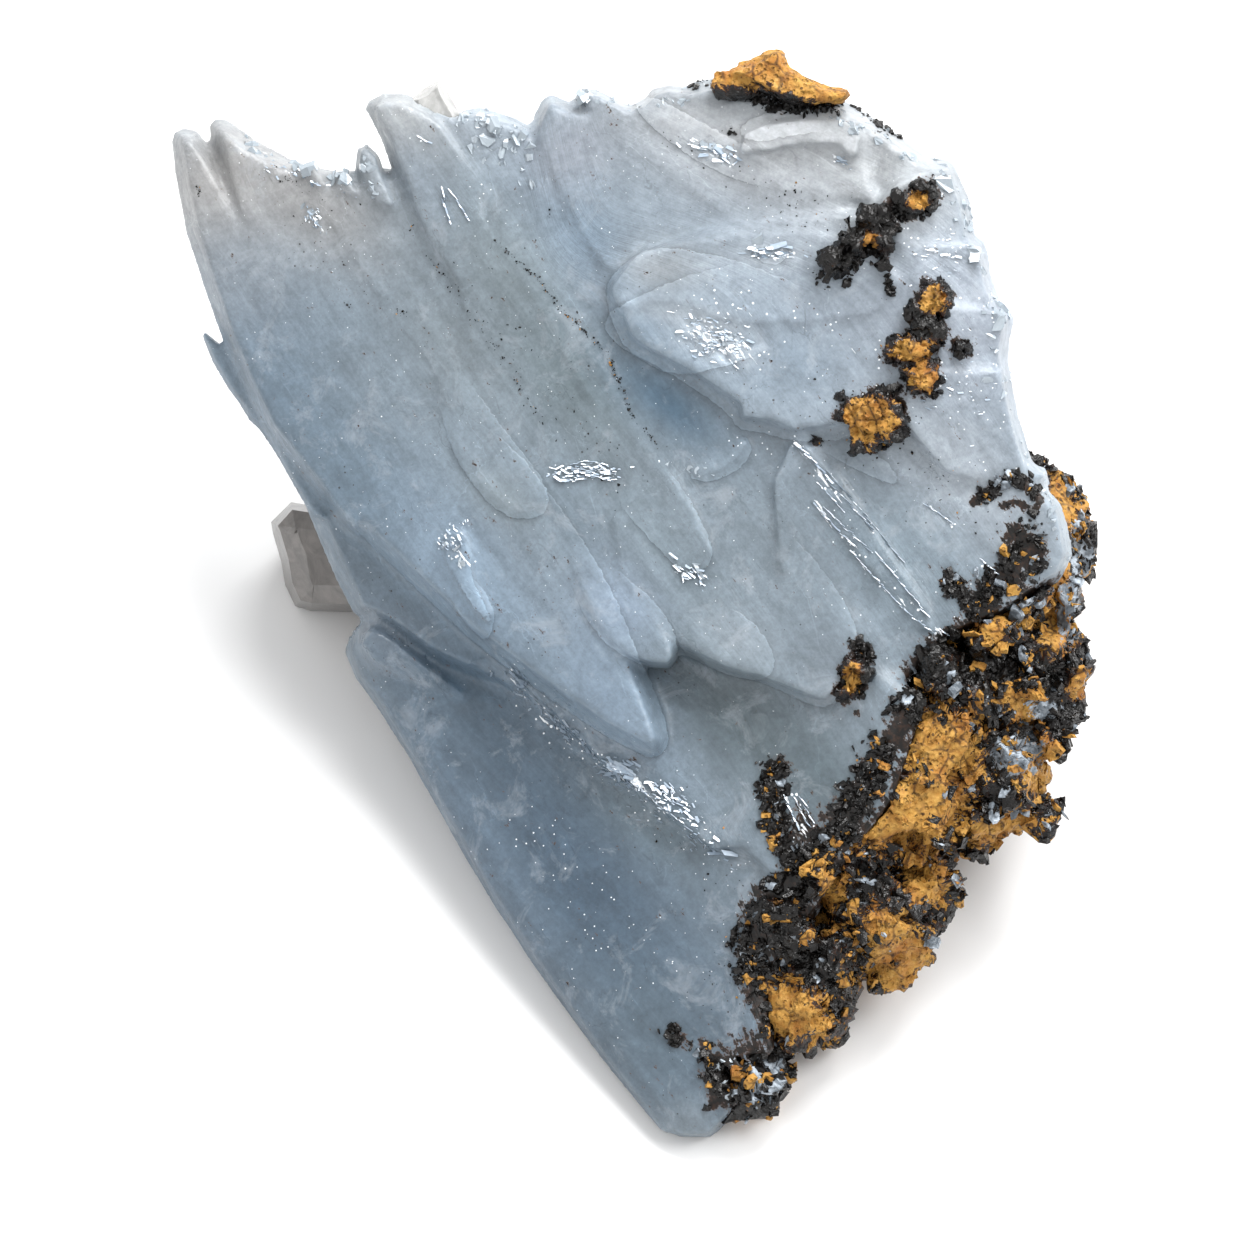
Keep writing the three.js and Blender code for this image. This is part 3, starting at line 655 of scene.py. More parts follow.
@dataclass(frozen=True)
class BariteFinish:
    """Frosted, slightly milky barite with fine etching, white cracks and small glints painted into its colour
    as highlights.

    Attributes:
        index: how strongly it bends light
        depth: how far light travels under the surface, in mm
        speck: colour of the small dark inclusions
        stain: colour of the iron oxide film near the crusts
        rust: colour of the thin film's rim
        brown: colour of the film's browner places
        spark: linear colour of the white cracks and of the painted highlight streaks and sparks
    """

    index: float = 1.6
    depth: float = 0.8
    speck: Colour = (0.16, 0.15, 0.14)
    stain: Colour = (0.03, 0.028, 0.025)
    rust: Colour = (0.34, 0.25, 0.19)
    brown: Colour = (0.20, 0.13, 0.09)
    spark: Colour = (0.90, 0.93, 0.96)

    def build(self) -> bpy.types.Material:
        """Wires the material, which reads the values tone, stain, grain, frost and glint from the mesh."""
        w = Wiring("barite")
        stretched = w.vector("MULTIPLY", w.read("grain", "Vector"), (1.0, 0.09, 0.5))
        cloud = w.span(w.noise(4.5, 4.5, 0.66, warp=0.9), 0.3, 0.7, 0.85, 1.17)
        veil = w.span(w.noise(1.1, 3.0, 0.68, at=stretched), 0.35, 0.72, 0.91, 1.12)
        flecks = w.span(w.noise(0.7, 2.5, 0.85), 0.34, 0.66, 0.89, 1.10)
        dapple = w.math("MULTIPLY", w.math("MULTIPLY", cloud, veil), flecks)
        dapple, steps = self._tipped(w, dapple)
        dapple = self._cracked(w, dapple)
        shade = w.node("CombineXYZ", None, X=dapple, Y=dapple, Z=dapple).outputs[0]
        colour = w.vector("MULTIPLY", w.read("tone", "Vector"), shade)
        frosting = w.span(w.noise(5.0, 5.0, 0.74, warp=0.6), 0.54, 0.68, 0.0, 0.30)
        colour = w.blend(frosting, colour, own_colour(FROST_AND_HIGHLIGHT_WHITE))
        specks = w.math("LESS_THAN", w.grains(0.9), w.span(w.noise(7.0, 3.0), 0.45, 0.75, 0.0, 0.16))
        colour = w.blend(w.math("MULTIPLY", specks, 0.75), colour, linear(self.speck))
        colour = self._stained(w, stretched, colour)
        # painted highlights: white streaks and sparks mixed into the colour, with real white cleavage cracks
        # among them; the same masks make those places glossier
        glint_streaks, sparks = self._glints(w, stretched)
        bright = w.math("MAXIMUM", glint_streaks, sparks)
        colour = w.blend(w.math("MULTIPLY", bright, 0.85), colour, self.spark)
        etched = w.noise(0.45, 1.5, 0.7)
        lines = w.noise(0.3, 1.5, 0.6, at=stretched)
        height = w.math("ADD", w.math("MULTIPLY", etched, 0.5), w.math("MULTIPLY", lines, 0.6))
        height = w.math("ADD", height, steps)
        rough = w.math("ADD", w.span(w.noise(2.2, 4.0), 0.3, 0.7, -0.09, 0.08), w.read("frost"))
        rough = w.math("SUBTRACT", rough, w.math("MULTIPLY", bright, 0.22))
        return w.finish(
            Base_Color=colour,
            Roughness=rough,
            IOR=self.index,
            Subsurface_Weight=1.0,
            Subsurface_Radius=(1.0, 1.0, 1.0),
            Subsurface_Scale=self.depth * MM,
            Specular_IOR_Level=0.28,
            Normal=w.bump(height, 0.08, 0.85),
        )

    def _tipped(self, w: Wiring, shade: object) -> tuple[object, object]:
        """Sets off the blade tips: milky inside, a thin painted highlight along the edge and a faint painted
        shadow outside.

        Args:
            w: the material's wiring
            shade: brightness of the colour so far

        Returns:
            The brightness with the tips, and how high they stand for the bump.
        """
        height: object = 0.0
        uneven = w.span(w.noise(0.8, 3.0, 0.6), 0.3, 0.7, -0.12, 0.12)
        broken = w.span(w.noise(2.6, 3.0), 0.38, 0.6)
        for name in ("tip", "other_tip", "blade_end"):
            depth = w.math("ADD", w.read(name), uneven)
            within = w.math("MULTIPLY", w.span(depth, -0.04, 0.04), w.read(name + "_shown"))
            milk = w.math("MULTIPLY", within, w.span(depth, 0.0, 3.5, 0.16, 0.03))
            # pale: a painted highlight just inside the tip's edge
            pale = w.math("MULTIPLY", within, w.span(depth, 0.05, 0.22, 0.22, 0.0))
            pale = w.math("MULTIPLY", pale, broken)
            outside = w.math("MULTIPLY", w.span(depth, -0.04, 0.04, 1.0, 0.0), w.read(name + "_shown"))
            # shadow: painted shade just outside the tip's edge
            shadow = w.math("MULTIPLY", w.span(depth, -0.6, -0.02, 0.0, 0.20), outside)
            change = w.math("SUBTRACT", w.math("ADD", milk, pale), shadow)
            shade = w.math("MULTIPLY", shade, w.math("ADD", 1.0, change))
            height = w.math("ADD", height, w.math("MULTIPLY", within, 1.4))
        return shade, height

    def _cracked(self, w: Wiring, shade: object) -> object:
        """Adds hairline cracks, pale ones and a few dark ones, to the brightness of the colour."""
        along = w.vector("MULTIPLY", w.read("grain", "Vector"), (1.0, 0.42, 1.0))
        wavy = w.vector("ADD", along, w.span(w.noise(2.0, 4.0), 0.25, 0.75, -0.7, 0.7))
        for size, lowest, change in ((5.5, 0.50, 0.25), (3.2, 0.56, -0.28)):
            gap = w.grains(size, feature="DISTANCE_TO_EDGE", at=wavy)
            shown = w.span(w.noise(size * 1.4, 3.0), lowest, lowest + 0.1)
            line = w.math("MULTIPLY", w.span(gap, 0.0, 0.07 / size, 1.0, 0.0), shown)
            shade = w.math("MULTIPLY", shade, w.math("ADD", 1.0, w.math("MULTIPLY", line, change)))
        return shade

    def _stained(self, w: Wiring, stretched: object, colour: object) -> bpy.types.NodeSocket:
        """Lays the black film and its rusty rim over the barite's colour."""
        streaks = w.span(w.noise(0.7, 3.0, 0.7, at=stretched), 0.25, 0.75, -0.4, 0.4)
        crumbs = w.span(w.noise(0.8, 3.0, 0.75), 0.25, 0.75, -0.5, 0.5)
        ragged = w.math("ADD", w.read("stain"), w.math("ADD", streaks, crumbs))
        colour = w.blend(w.span(ragged, 0.44, 0.56, 0.0, 0.75), colour, linear(self.rust))
        film = w.span(ragged, 0.56, 0.62)
        brownish = w.span(w.noise(0.6, 2.0, 0.7), 0.45, 0.7)
        dark = w.blend(brownish, linear(self.stain), linear(self.brown))
        return w.blend(w.math("MULTIPLY", film, 0.97), colour, dark)

    def _glints(self, w: Wiring, stretched: object) -> tuple[object, object]:
        """Where white cleavage cracks and painted highlight streaks show, and where small painted sparks
        show.
        """
        share = w.read("glint")
        edge = w.span(share, 0.0, 1.0, 0.90, 0.50)
        lines = w.noise(0.42, 4.0, 0.62, at=w.vector("MULTIPLY", w.read("grain", "Vector"), (1.0, 0.16, 0.5)))
        above = w.math("SUBTRACT", lines, edge)
        glint_streaks = w.span(above, 0.0, 0.03)
        threshold = w.span(w.math("ADD", share, w.noise(6.0, 2.0)), 0.40, 1.3, 0.03, 0.20)
        rare = w.math("LESS_THAN", w.grains(2.6), w.span(w.noise(9.0, 3.0), 0.45, 0.7, 0.0, 0.035))
        return glint_streaks, w.math("MAXIMUM", rare, w.math("LESS_THAN", w.grains(0.8), threshold))


@dataclass(frozen=True)
class FlakeFinish:
    """Fresh glassy cleavage of the barite.

    Attributes:
        colour: of its paler places
        darker: of its other places
    """

    colour: Colour = (0.70, 0.75, 0.80)
    darker: Colour = (0.52, 0.59, 0.66)

    def build(self) -> bpy.types.Material:
        """Wires the material."""
        w = Wiring("bright_cleavage")
        return w.finish(
            Base_Color=w.blend(w.noise(0.6, 3.0), linear(self.darker), linear(self.colour)),
            Roughness=w.span(w.noise(0.5, 3.0), 0.3, 0.7, 0.08, 0.2),
            IOR=1.64,
            Coat_Weight=1.0,
            Coat_Roughness=0.08,
        )


@dataclass(frozen=True)
class RockFinish:
    """Iron oxide rock: glossy black goethite and earthy ochre limonite with brown between them.

    Attributes:
        black: colour of the goethite
        brown: colour where the two mix
        ochre: colour of the limonite
        pale: colour of its dusty high spots
        spar: colour of the grey pieces of barite in the rock
        spar_shine: colour of their paler faces
        deep: colour of the goethite in its darkest places
        orange: colour of the richer limonite
        hollow: colour of the limonite in hollows
        crack: colour along its cracks
        pit: colour of its small pits
    """

    black: Colour = (0.085, 0.075, 0.07)
    brown: Colour = (0.24, 0.12, 0.055)
    ochre: Colour = (0.63, 0.44, 0.165)
    pale: Colour = (0.75, 0.58, 0.29)
    spar: Colour = (0.36, 0.39, 0.42)
    spar_shine: Colour = (0.66, 0.70, 0.74)
    deep: Colour = (0.04, 0.037, 0.036)
    orange: Colour = (0.54, 0.29, 0.085)
    # hollow: dark brown painted into the limonite's hollows as shade
    hollow: Colour = (0.26, 0.13, 0.05)
    crack: Colour = (0.16, 0.08, 0.04)
    pit: Colour = (0.20, 0.11, 0.05)

    def build(self, name: str = "iron_oxide") -> bpy.types.Material:
        """Wires the material, which reads the values ochre, spar and crest from the mesh."""
        w = Wiring(name)
        fine = w.noise(0.7, 3.0, 0.65)
        patchy = w.noise(1.7, 4.0, 0.72, warp=1.0)
        edge = w.math("ADD", w.read("ochre"), w.span(patchy, 0.25, 0.75, -0.42, 0.42))
        ochre = w.span(edge, 0.49, 0.54)
        halo = w.span(edge, 0.34, 0.52)
        dark = w.blend(w.span(fine, 0.35, 0.7), linear(self.black), linear(self.deep))
        dark = w.blend(w.math("MULTIPLY", halo, 0.8), dark, linear(self.brown))
        earth = w.blend(w.span(fine, 0.3, 0.7), linear(self.ochre), linear(self.pale))
        orange = w.span(w.noise(3.1, 4.0, 0.6), 0.45, 0.7)
        earth = w.blend(w.math("MULTIPLY", orange, 0.6), earth, linear(self.orange))
        crest = w.read("crest")
        # painted shade: the limonite darkened in its hollows
        earth = w.blend(w.span(crest, -0.15, -0.5, 0.0, 0.85), earth, linear(self.hollow))
        cracks = w.span(w.grains(1.9, feature="DISTANCE_TO_EDGE"), 0.02, 0.09, 0.75, 0.0)
        cracks = w.math("MULTIPLY", cracks, w.span(w.noise(3.0, 2.0), 0.4, 0.6))
        earth = w.blend(cracks, earth, linear(self.crack))
        pits = w.math("LESS_THAN", w.grains(0.8), w.span(w.noise(2.0, 3.0), 0.4, 0.7, 0.05, 0.34))
        earth = w.blend(w.math("MULTIPLY", pits, 0.8), earth, linear(self.pit))
        colour = w.blend(ochre, dark, earth)
        grey = w.span(w.math("ADD", w.read("spar"), w.span(patchy, 0.25, 0.75, -0.3, 0.3)), 0.5, 0.56)
        glassy = w.blend(w.span(w.noise(1.1, 2.0), 0.45, 0.62), linear(self.spar), linear(self.spar_shine))
        colour = w.blend(grey, colour, glassy)
        height = w.math("ADD", w.math("MULTIPLY", fine, 0.7), w.math("MULTIPLY", w.grains(0.45), 0.35))
        holes = w.math("MULTIPLY", w.span(w.grains(0.6), 0.1, 0.4, -1.2, 0.0), ochre)
        normal = w.bump(w.math("ADD", height, holes), 0.35, 0.9)
        gloss = w.span(w.noise(1.6, 4.0), 0.35, 0.65, 0.08, 0.36)
        rough = w.math("ADD", gloss, w.math("MULTIPLY", ochre, 0.5))
        return w.finish(Base_Color=colour, Roughness=rough, IOR=1.42, Normal=normal)


@dataclass(frozen=True)
class ClearFinish:
    """A see-through crystal with faint veils.

    Attributes:
        name: the material's name
        colour: what the crystal tints light to
        roughness: of its faces
        clearness: share of the light that goes through
        depth: brightness of its darkest veils against its colour
        speck: colour of its small dark inclusions
    """

    name: str
    colour: Colour
    roughness: float
    clearness: float
    depth: float = 0.8
    speck: Colour = (0.2, 0.17, 0.14)

    def build(self) -> bpy.types.Material:
        """Wires the material."""
        w = Wiring(self.name)
        veils = w.noise(2.4, 5.0, 0.6, warp=1.2)
        darker = tuple(c * self.depth for c in self.colour)
        colour = w.blend(w.span(veils, 0.35, 0.7), linear(self.colour), linear(darker))
        specks = w.math("LESS_THAN", w.grains(1.3), w.span(w.noise(4.0, 2.0), 0.45, 0.75, 0.0, 0.2))
        colour = w.blend(w.math("MULTIPLY", specks, 0.6), colour, linear(self.speck))
        normal = w.bump(w.noise(0.8, 4.0, 0.6), 0.10, 0.7)
        return w.finish(
            Base_Color=colour,
            Roughness=self.roughness,
            IOR=1.64,
            Transmission_Weight=self.clearness,
            Coat_Weight=0.3,
            Coat_Roughness=0.06,
            Normal=normal,
        )


@dataclass(frozen=True)
class Tint:
    """A soft spot of colour in the barite.

    Attributes:
        patch: where it is
        colour: as seen on a screen
        strength: share of it in the middle
    """

    patch: Patch
    colour: Colour
    strength: float = 0.85


@dataclass(frozen=True)
class Soiling:
    """Where black iron oxide lies on the barite.

    Attributes:
        strokes: lines on the sheet along which it runs out from the rock and the crusts
        crust_reach: how far it spreads from a crust, in mm
        rock_reach: how far it spreads from the rock, in mm
    """

    crust_reach: float = 0.9
    rock_reach: float = 2.6
    strokes: tuple[Stroke, ...] = (
        Stroke(((77.8, 76.9), (77.1, 79.5), (77.6, 82.5), (79.5, 86.5)), 1.2, 1.15),
        Stroke(((95.2, 66), (92, 70), (89, 74.5), (86.5, 78.5), (84.5, 83), (80.5, 87)), 1.5, 1.1),
        Stroke(((80, 88), (77, 90.5), (75.4, 94), (75.2, 97), (76.5, 100.5), (77.4, 104)), 1.5, 1.2),
        Stroke(((94.8, 58.2), (97.5, 60.5), (99, 63.5)), 1.0, 1.1),
        Stroke(((94.8, 63.4), (97, 65.5), (99.5, 66.5)), 1.0, 1.1),
        Stroke(((101.4, 53.6), (103.6, 55.4), (100, 58), (98, 61)), 1.4, 1.1),
        Stroke(((97.4, 50.2), (99.5, 48.9), (101, 47.7), (102.6, 48.3), (104, 50)), 0.55, 1.05),
        Stroke(((100.2, 50.6), (101.8, 50.2), (103.6, 51)), 0.4, 1.0),
        Stroke(((67.2, 103), (68.6, 104.4)), 0.7, 0.95),
        Stroke(((70.4, 104.5), (71.6, 107), (71.4, 110.5)), 0.8, 1.05),
        Stroke(((73, 110), (75.5, 107.6), (77.5, 105.5)), 1.1, 1.1),
        Stroke(((81.6, 44), (81.8, 44.2)), 0.4, 1.2),
        Stroke(((85.4, 64.2), (86.6, 66), (85, 69)), 0.7, 0.9),
        Stroke(((85.6, 71.2), (85.9, 71.6)), 0.3, 0.9),
    )

    def along_strokes(self, x: np.ndarray, y: np.ndarray) -> np.ndarray:
        """Strength of the film along the strokes alone, 0 to about 1."""
        return np.max([stroke.amount * stroke.nearness(x, y) for stroke in self.strokes], axis=0)

    def share(self, points: np.ndarray, rock: BVHTree, crusts: BVHTree) -> np.ndarray:
        """How strongly the film covers each point of the fan.

        Args:
            points: places in mm
            rock: search tree of the rock's solid
            crusts: search tree of the crusts' solids

        Returns:
            A number for each point, 0 where the barite is clean and 1 where it is black.
        """
        spots = SHEET.locate(points)
        strength = self.along_strokes(spots[:, 0], spots[:, 1])
        for tree, reach in ((rock, self.rock_reach), (crusts, self.crust_reach)):
            limit = reach * 1.5 * MM
            far = np.array([tree.find_nearest(Vector(p * MM), limit)[3] or limit for p in points]) / MM
            strength = np.maximum(strength, np.where(far < limit / MM, 1.0 - far / reach, 0.0))
        return np.clip(strength, 0.0, 1.2)


@dataclass
class BariteFan:
    """All the barite blades, grown together from the rock at the lower right.

    Attributes:
        grain: width of the mesh's faces in mm
        growth: how far the blades' length is turned down from the right, in degrees
        swell: height of the soft swells in mm
        ribs: height of the growth lines in mm
        noise: the soft swells' pattern
        painted_rim_highlight: share of frost white painted on the blades' edges as a highlight
        crease_shade_and_dirt: how much darker the bottoms of creases are painted, as shade with some dirt
        crease_rounds: rounds of smoothing by which creases are found
        crease_filling: the most that a crease is lifted at a time, in mm
        frosting: roughness of the faces away from edges and glossy places
        tip_step: how far a blade's end stands over the next blade, in mm
        tints: the colours over the fan, later ones over earlier ones; some also hold painted shade or painted
            highlights
        glints: where white cracks, painted highlight streaks and sparks, and small raised facets go
        glossy: where the surface is less frosted
        tips: outlines of blade ends that lie almost level with their neighbours
        other_tips: more such outlines, which may cross the first ones
        blade_ends: outlines of the great blades where they end over the next ones
    """

    grain: float = 0.42
    growth: float = 54.0
    swell: float = 0.12
    ribs: float = 0.05
    noise: Noise = Noise(7)
    painted_rim_highlight: float = 0.07
    crease_shade_and_dirt: float = 0.18
    crease_rounds: int = 14
    crease_filling: float = 0.35
    frosting: float = 0.40
    tip_step: float = 0.1
    tints: tuple[Tint, ...] = (
        Tint(Patch(84, 30, 30, 16, 40), PALE_BLUE, 0.9),
        Tint(Patch(28, 38, 18, 10, 54), (0.475, 0.55, 0.62), 0.85),
        Tint(Patch(40, 40, 14, 8, 54), BODY, 0.8),
        Tint(Patch(22, 18, 8, 9, 54), WARM_GREY, 1.0),
        Tint(Patch(31, 20, 9, 5, 30), WARM_GREY, 0.8),
        Tint(Patch(24, 28, 6, 5, 54), (0.60, 0.645, 0.69), 0.6),
        Tint(Patch(40, 11, 6, 5, 54), WHITE_GREY, 0.95),
        Tint(Patch(43, 19, 6, 2.4, 54), (0.59, 0.64, 0.69), 0.8),
        Tint(Patch(49, 13, 5, 3, 30), COOL_WHITE, 0.85),
        Tint(Patch(51, 27, 9, 5, 54), (0.55, 0.60, 0.63), 0.9),
        Tint(Patch(57, 38, 10, 5, 54), (0.49, 0.545, 0.575), 0.95),
        Tint(Patch(45, 34, 8, 4, 54), (0.545, 0.59, 0.62), 0.7),
        Tint(Patch(37, 50, 12, 5, 50), (0.47, 0.54, 0.60), 0.85),
        Tint(Patch(50, 50, 4, 2.4, 30), (0.58, 0.63, 0.66), 0.9),
        Tint(Patch(60, 26, 11, 3.6, 54), (0.54, 0.615, 0.685), 0.95),
        Tint(Patch(67, 40.4, 8, 3, 40), (0.37, 0.45, 0.52), 1.0),
        Tint(Patch(57, 15, 4, 5, 54), (0.60, 0.635, 0.68), 1.0),
        Tint(Patch(72, 14, 12, 5, 24), (0.70, 0.715, 0.73), 0.9),
        Tint(Patch(88, 17, 9, 7, 20), WHITE_GREY, 0.85),
        Tint(Patch(81, 13.4, 8, 3, 4), (0.78, 0.80, 0.82), 0.9),
        Tint(Patch(97, 32, 9, 12, 60), (0.67, 0.71, 0.76), 0.9),
        Tint(Patch(66, 27, 5, 3, 0), (0.60, 0.63, 0.655), 0.9),
        Tint(Patch(78, 36, 12, 4, 16), (0.57, 0.635, 0.695), 0.9),
        # painted highlights: frost white over the spots where bright cleavage catches the light
        Tint(Patch(69, 31.6, 6, 1.2, 12), FROST_AND_HIGHLIGHT_WHITE, 0.5),
        Tint(Patch(72, 34.2, 4, 2, 20), FROST_AND_HIGHLIGHT_WHITE, 0.7),
        Tint(Patch(77, 25.4, 3, 1.4, 0), FROST_AND_HIGHLIGHT_WHITE, 0.7),
        Tint(Patch(72, 15.4, 4, 1.4, 20), FROST_AND_HIGHLIGHT_WHITE, 0.6),
        Tint(Patch(95, 46.6, 12, 5, 40), (0.70, 0.74, 0.78), 0.9),
        Tint(Patch(90, 56, 10, 6, 54), (0.54, 0.60, 0.645), 0.85),
        Tint(Patch(77, 54, 9, 5, 54), (0.52, 0.57, 0.61), 0.95),
        Tint(Patch(83, 66, 5, 4, 54), (0.515, 0.56, 0.60), 0.9),
        Tint(Patch(46, 57.4, 10, 5, 54), (0.62, 0.70, 0.775), 1.0),
        Tint(Patch(58, 53, 6, 3, 54), (0.52, 0.58, 0.63), 0.8),
        Tint(Patch(62, 61, 5, 4, 54), (0.585, 0.65, 0.725), 0.9),
        Tint(Patch(67, 55, 9, 3, 54), (0.525, 0.58, 0.62), 0.9),
        Tint(Patch(74, 64.5, 4, 3, 40), (0.60, 0.645, 0.685), 0.85),
        Tint(Patch(61, 69, 8, 4, 56), (0.63, 0.71, 0.79), 1.0),
        # the lower plate just under the great blade's edge: darker, partly painted shade
        Tint(Patch(48, 70, 12, 5, 46), (0.475, 0.55, 0.615), 1.0),
        Tint(Patch(38, 63.6, 4, 2.4, 40), (0.60, 0.65, 0.70), 0.9),
        # the plate below the tongue tips: dark grey-green, partly painted shade
        Tint(Patch(75, 73, 12, 5, 40), DARK_GREEN_AND_SHADE, 1.0),
        Tint(Patch(82, 78, 5, 4, 54), (0.42, 0.47, 0.50), 0.8),
        # the lower plate: its own deeper blue, partly painted shade as it faces away from the light
        Tint(Patch(58, 88, 34, 12, 56), SLATE_AND_SHADE, 1.0),
        Tint(Patch(65, 82, 8, 3, 40), (0.46, 0.52, 0.56), 0.8),
        Tint(Patch(48, 84, 20, 2.6, 62), (0.45, 0.52, 0.59), 0.7),
        Tint(Patch(66, 104, 8, 5, 60), (0.42, 0.48, 0.53), 0.85),
        Tint(Patch(69, 112.4, 3, 2.4, 0), (0.56, 0.61, 0.65), 0.8),
    )
    glints: tuple[Stroke, ...] = (
        Stroke(((31, 21), (32.4, 23)), 0.8, 0.9),
        Stroke(((51, 67.4), (53, 70), (56, 73), (60, 76), (64, 79)), 1.6, 0.75),
        Stroke(((61, 76.6), (64, 78.4)), 1.3, 1.0),
        Stroke(((64, 79), (68, 83), (72, 85.6)), 1.8, 0.62),
        Stroke(((70, 33), (74.4, 35.4)), 2.2, 0.95),
        Stroke(((72, 30), (80, 33), (87, 36)), 3.0, 0.55),
        Stroke(((75.5, 25), (79, 25.6)), 1.0, 0.95),
        Stroke(((79.4, 44.2), (82, 47.4), (84, 50)), 0.9, 0.9),
        Stroke(((81.6, 50.2), (84, 53.4), (88, 57.8), (93.6, 63.4)), 1.0, 0.8),
        Stroke(((84, 49.4), (86.9, 52.7)), 1.0, 0.6),
        Stroke(((92.5, 50.3), (95.2, 52.4)), 0.5, 1.0),
        Stroke(((79, 79), (80.6, 83)), 1.1, 0.95),
        Stroke(((93.9, 62.8), (95.7, 64.3)), 0.6, 1.0),
        Stroke(((97.7, 55.7), (100, 57.6)), 0.6, 0.9),
        Stroke(((56, 47), (59, 46.8), (61.6, 47.6)), 0.7, 0.8),
        Stroke(((44.4, 53.4), (46.8, 56.4)), 0.7, 0.85),
        Stroke(((40, 13), (43, 14.4)), 0.7, 0.6),
        Stroke(((69.4, 14.4), (73.4, 16.4)), 0.9, 0.8),
        Stroke(((83.6, 15.4), (84.8, 17)), 0.7, 0.8),
        Stroke(((70, 85), (80, 90)), 3.0, 0.35),
        Stroke(((54, 84), (62, 96)), 4.0, 0.34),
        Stroke(((94, 36), (100, 46)), 4.0, 0.4),
        Stroke(((92, 22), (98, 30)), 3.0, 0.42),
    )
    glossy: tuple[Patch, ...] = (
        Patch(38, 63.8, 4, 2.4, 40),
        Patch(72, 34, 6, 4, 10),
        Patch(60, 75, 12, 3, 42),
        Patch(87, 55, 9, 3, 54),
    )

    tips: tuple[Tip, ...] = (
        Tip((
            (43, 36), (44, 41.5), (45.6, 45.8), (47.3, 48.4), (49.3, 50.8), (51.6, 51.9), (54, 51.8),
            (55.1, 50.2), (54.5, 48.4), (53.1, 46.2), (49.6, 42), (45.4, 36),
        )),
        Tip((
            (56.9, 55.6), (57.2, 58), (58, 60.7), (59.8, 63.3), (61.6, 65.1), (64.2, 66.4), (67.1, 67),
            (67.9, 64.7), (66.9, 62), (65.1, 59.8), (62.9, 58), (60, 55.6), (58, 54.8),
        )),
        Tip((
            (44, 57.6), (45.3, 60.2), (47.3, 62.9), (48.9, 64.2), (49.6, 61.6), (48.7, 59.3), (46.4, 57.1),
        )),
        Tip(((72, 43.4), (73.6, 43.2), (75.4, 44.4), (74.6, 46.4), (72.4, 47.8), (70, 48.3), (68.6, 47.4))),
        Tip(((79.8, 43.8), (82.6, 43.6), (86.4, 44.6), (89.2, 46.6), (90.2, 48.8), (86.8, 47.6), (83, 45.6))),
        Tip((
            (78, 24.8), (74, 26.4), (69, 27.4), (64.4, 29.4), (61, 31), (60.2, 33), (62.4, 35), (68, 38.2),
            (80, 34),
        ), 160.0),
    )
    other_tips: tuple[Tip, ...] = (
        Tip((
            (61.1, 48.7), (62.9, 51.8), (66.2, 55.3), (68.7, 57.6), (70.9, 56.7), (71.4, 54.9), (70, 51.8),
            (68.2, 48.7), (65.6, 45.6), (63, 45.4),
        )),
        Tip((
            (68.2, 63.8), (70.4, 66.2), (73.1, 67.6), (76.2, 68), (77.6, 66.9), (77.1, 64.7), (75.8, 62.7),
            (73.1, 60.7), (70, 60.4), (68.2, 61.6),
        )),
        Tip((
            (44.6, 53.2), (46.4, 53.2), (47.2, 55), (47, 57.6), (48.6, 60.8), (49.4, 62.4), (47.4, 60.6),
            (45.6, 57.6), (44.2, 55.4),
        )),
        Tip(((75.6, 24.8), (78, 24.4), (79.2, 25.4), (77.6, 26.6), (75.8, 26.2))),
        Tip(((86, 13), (80, 13.4), (75, 14.4), (73.6, 12.8), (76, 11.4), (80, 10.8), (86, 10.8)), 180.0),
        Tip((
            (84, 17), (76, 15.4), (70, 12.2), (65, 9.4), (63, 10.4), (66, 13.6), (72, 17.6), (80, 19.6),
        ), 205.0),
    )

    blade_ends: tuple[Tip, ...] = (
        Tip((
            (30, 40), (31.2, 48), (36.5, 53.9), (41.6, 58.7), (46.2, 63.1), (50.6, 66.6), (54.8, 69.5),
            (59.8, 73.2), (63.6, 75.1), (65.2, 75.8), (66.4, 75.2), (66.9, 73.9), (66.3, 71.4), (64.4, 66.8),
            (60, 56), (48, 40),
        )),
        Tip((
            (66, 56), (66.6, 60), (67.9, 64.9), (70.2, 66.3), (73.1, 67.5), (76, 68), (80.4, 70.2),
            (82.2, 70.8), (83.6, 70.3), (84.9, 68.5), (86.1, 66), (85, 60), (76, 50),
        )),
        Tip((
            (60.5, 29.8), (61.9, 33.9), (63.4, 35.5), (65.4, 36.4), (68.9, 38.5), (73.1, 41.4), (73.7, 43),
            (76.8, 43.3), (79.6, 44.3), (86, 43.8), (92, 36), (80, 28), (66, 24), (61.2, 27.2),
        ), 150.0),
    )

    def _colours(self, x: np.ndarray, y: np.ndarray, rim: np.ndarray, crease: np.ndarray) -> np.ndarray:
        """Mixes the tints, paints highlights on the blades' rims and paints shade, with some dirt, into the
        creases between them.

        Args:
            x: mm to the right on the sheet
            y: mm down the sheet
            rim: how far each vertex stands out as an edge, 0 to 1
            crease: how far it lies in a crease, 0 to 1

        Returns:
            A linear colour for each vertex.
        """
        colours = np.tile(np.array(own_colour(BODY)), (len(x), 1))
        for tint in self.tints:
            share = (tint.strength * tint.patch.share(x, y))[:, None]
            colours = colours * (1.0 - share) + np.array(own_colour(tint.colour)) * share
        # painted highlight: frost white on the blades' rims
        share = (self.painted_rim_highlight * rim)[:, None]
        colours = colours * (1.0 - share) + np.array(own_colour(FROST_AND_HIGHLIGHT_WHITE)) * share
        # painted shade with some dirt: the bottoms of creases darkened
        return colours * (1.0 - self.crease_shade_and_dirt * crease)[:, None]

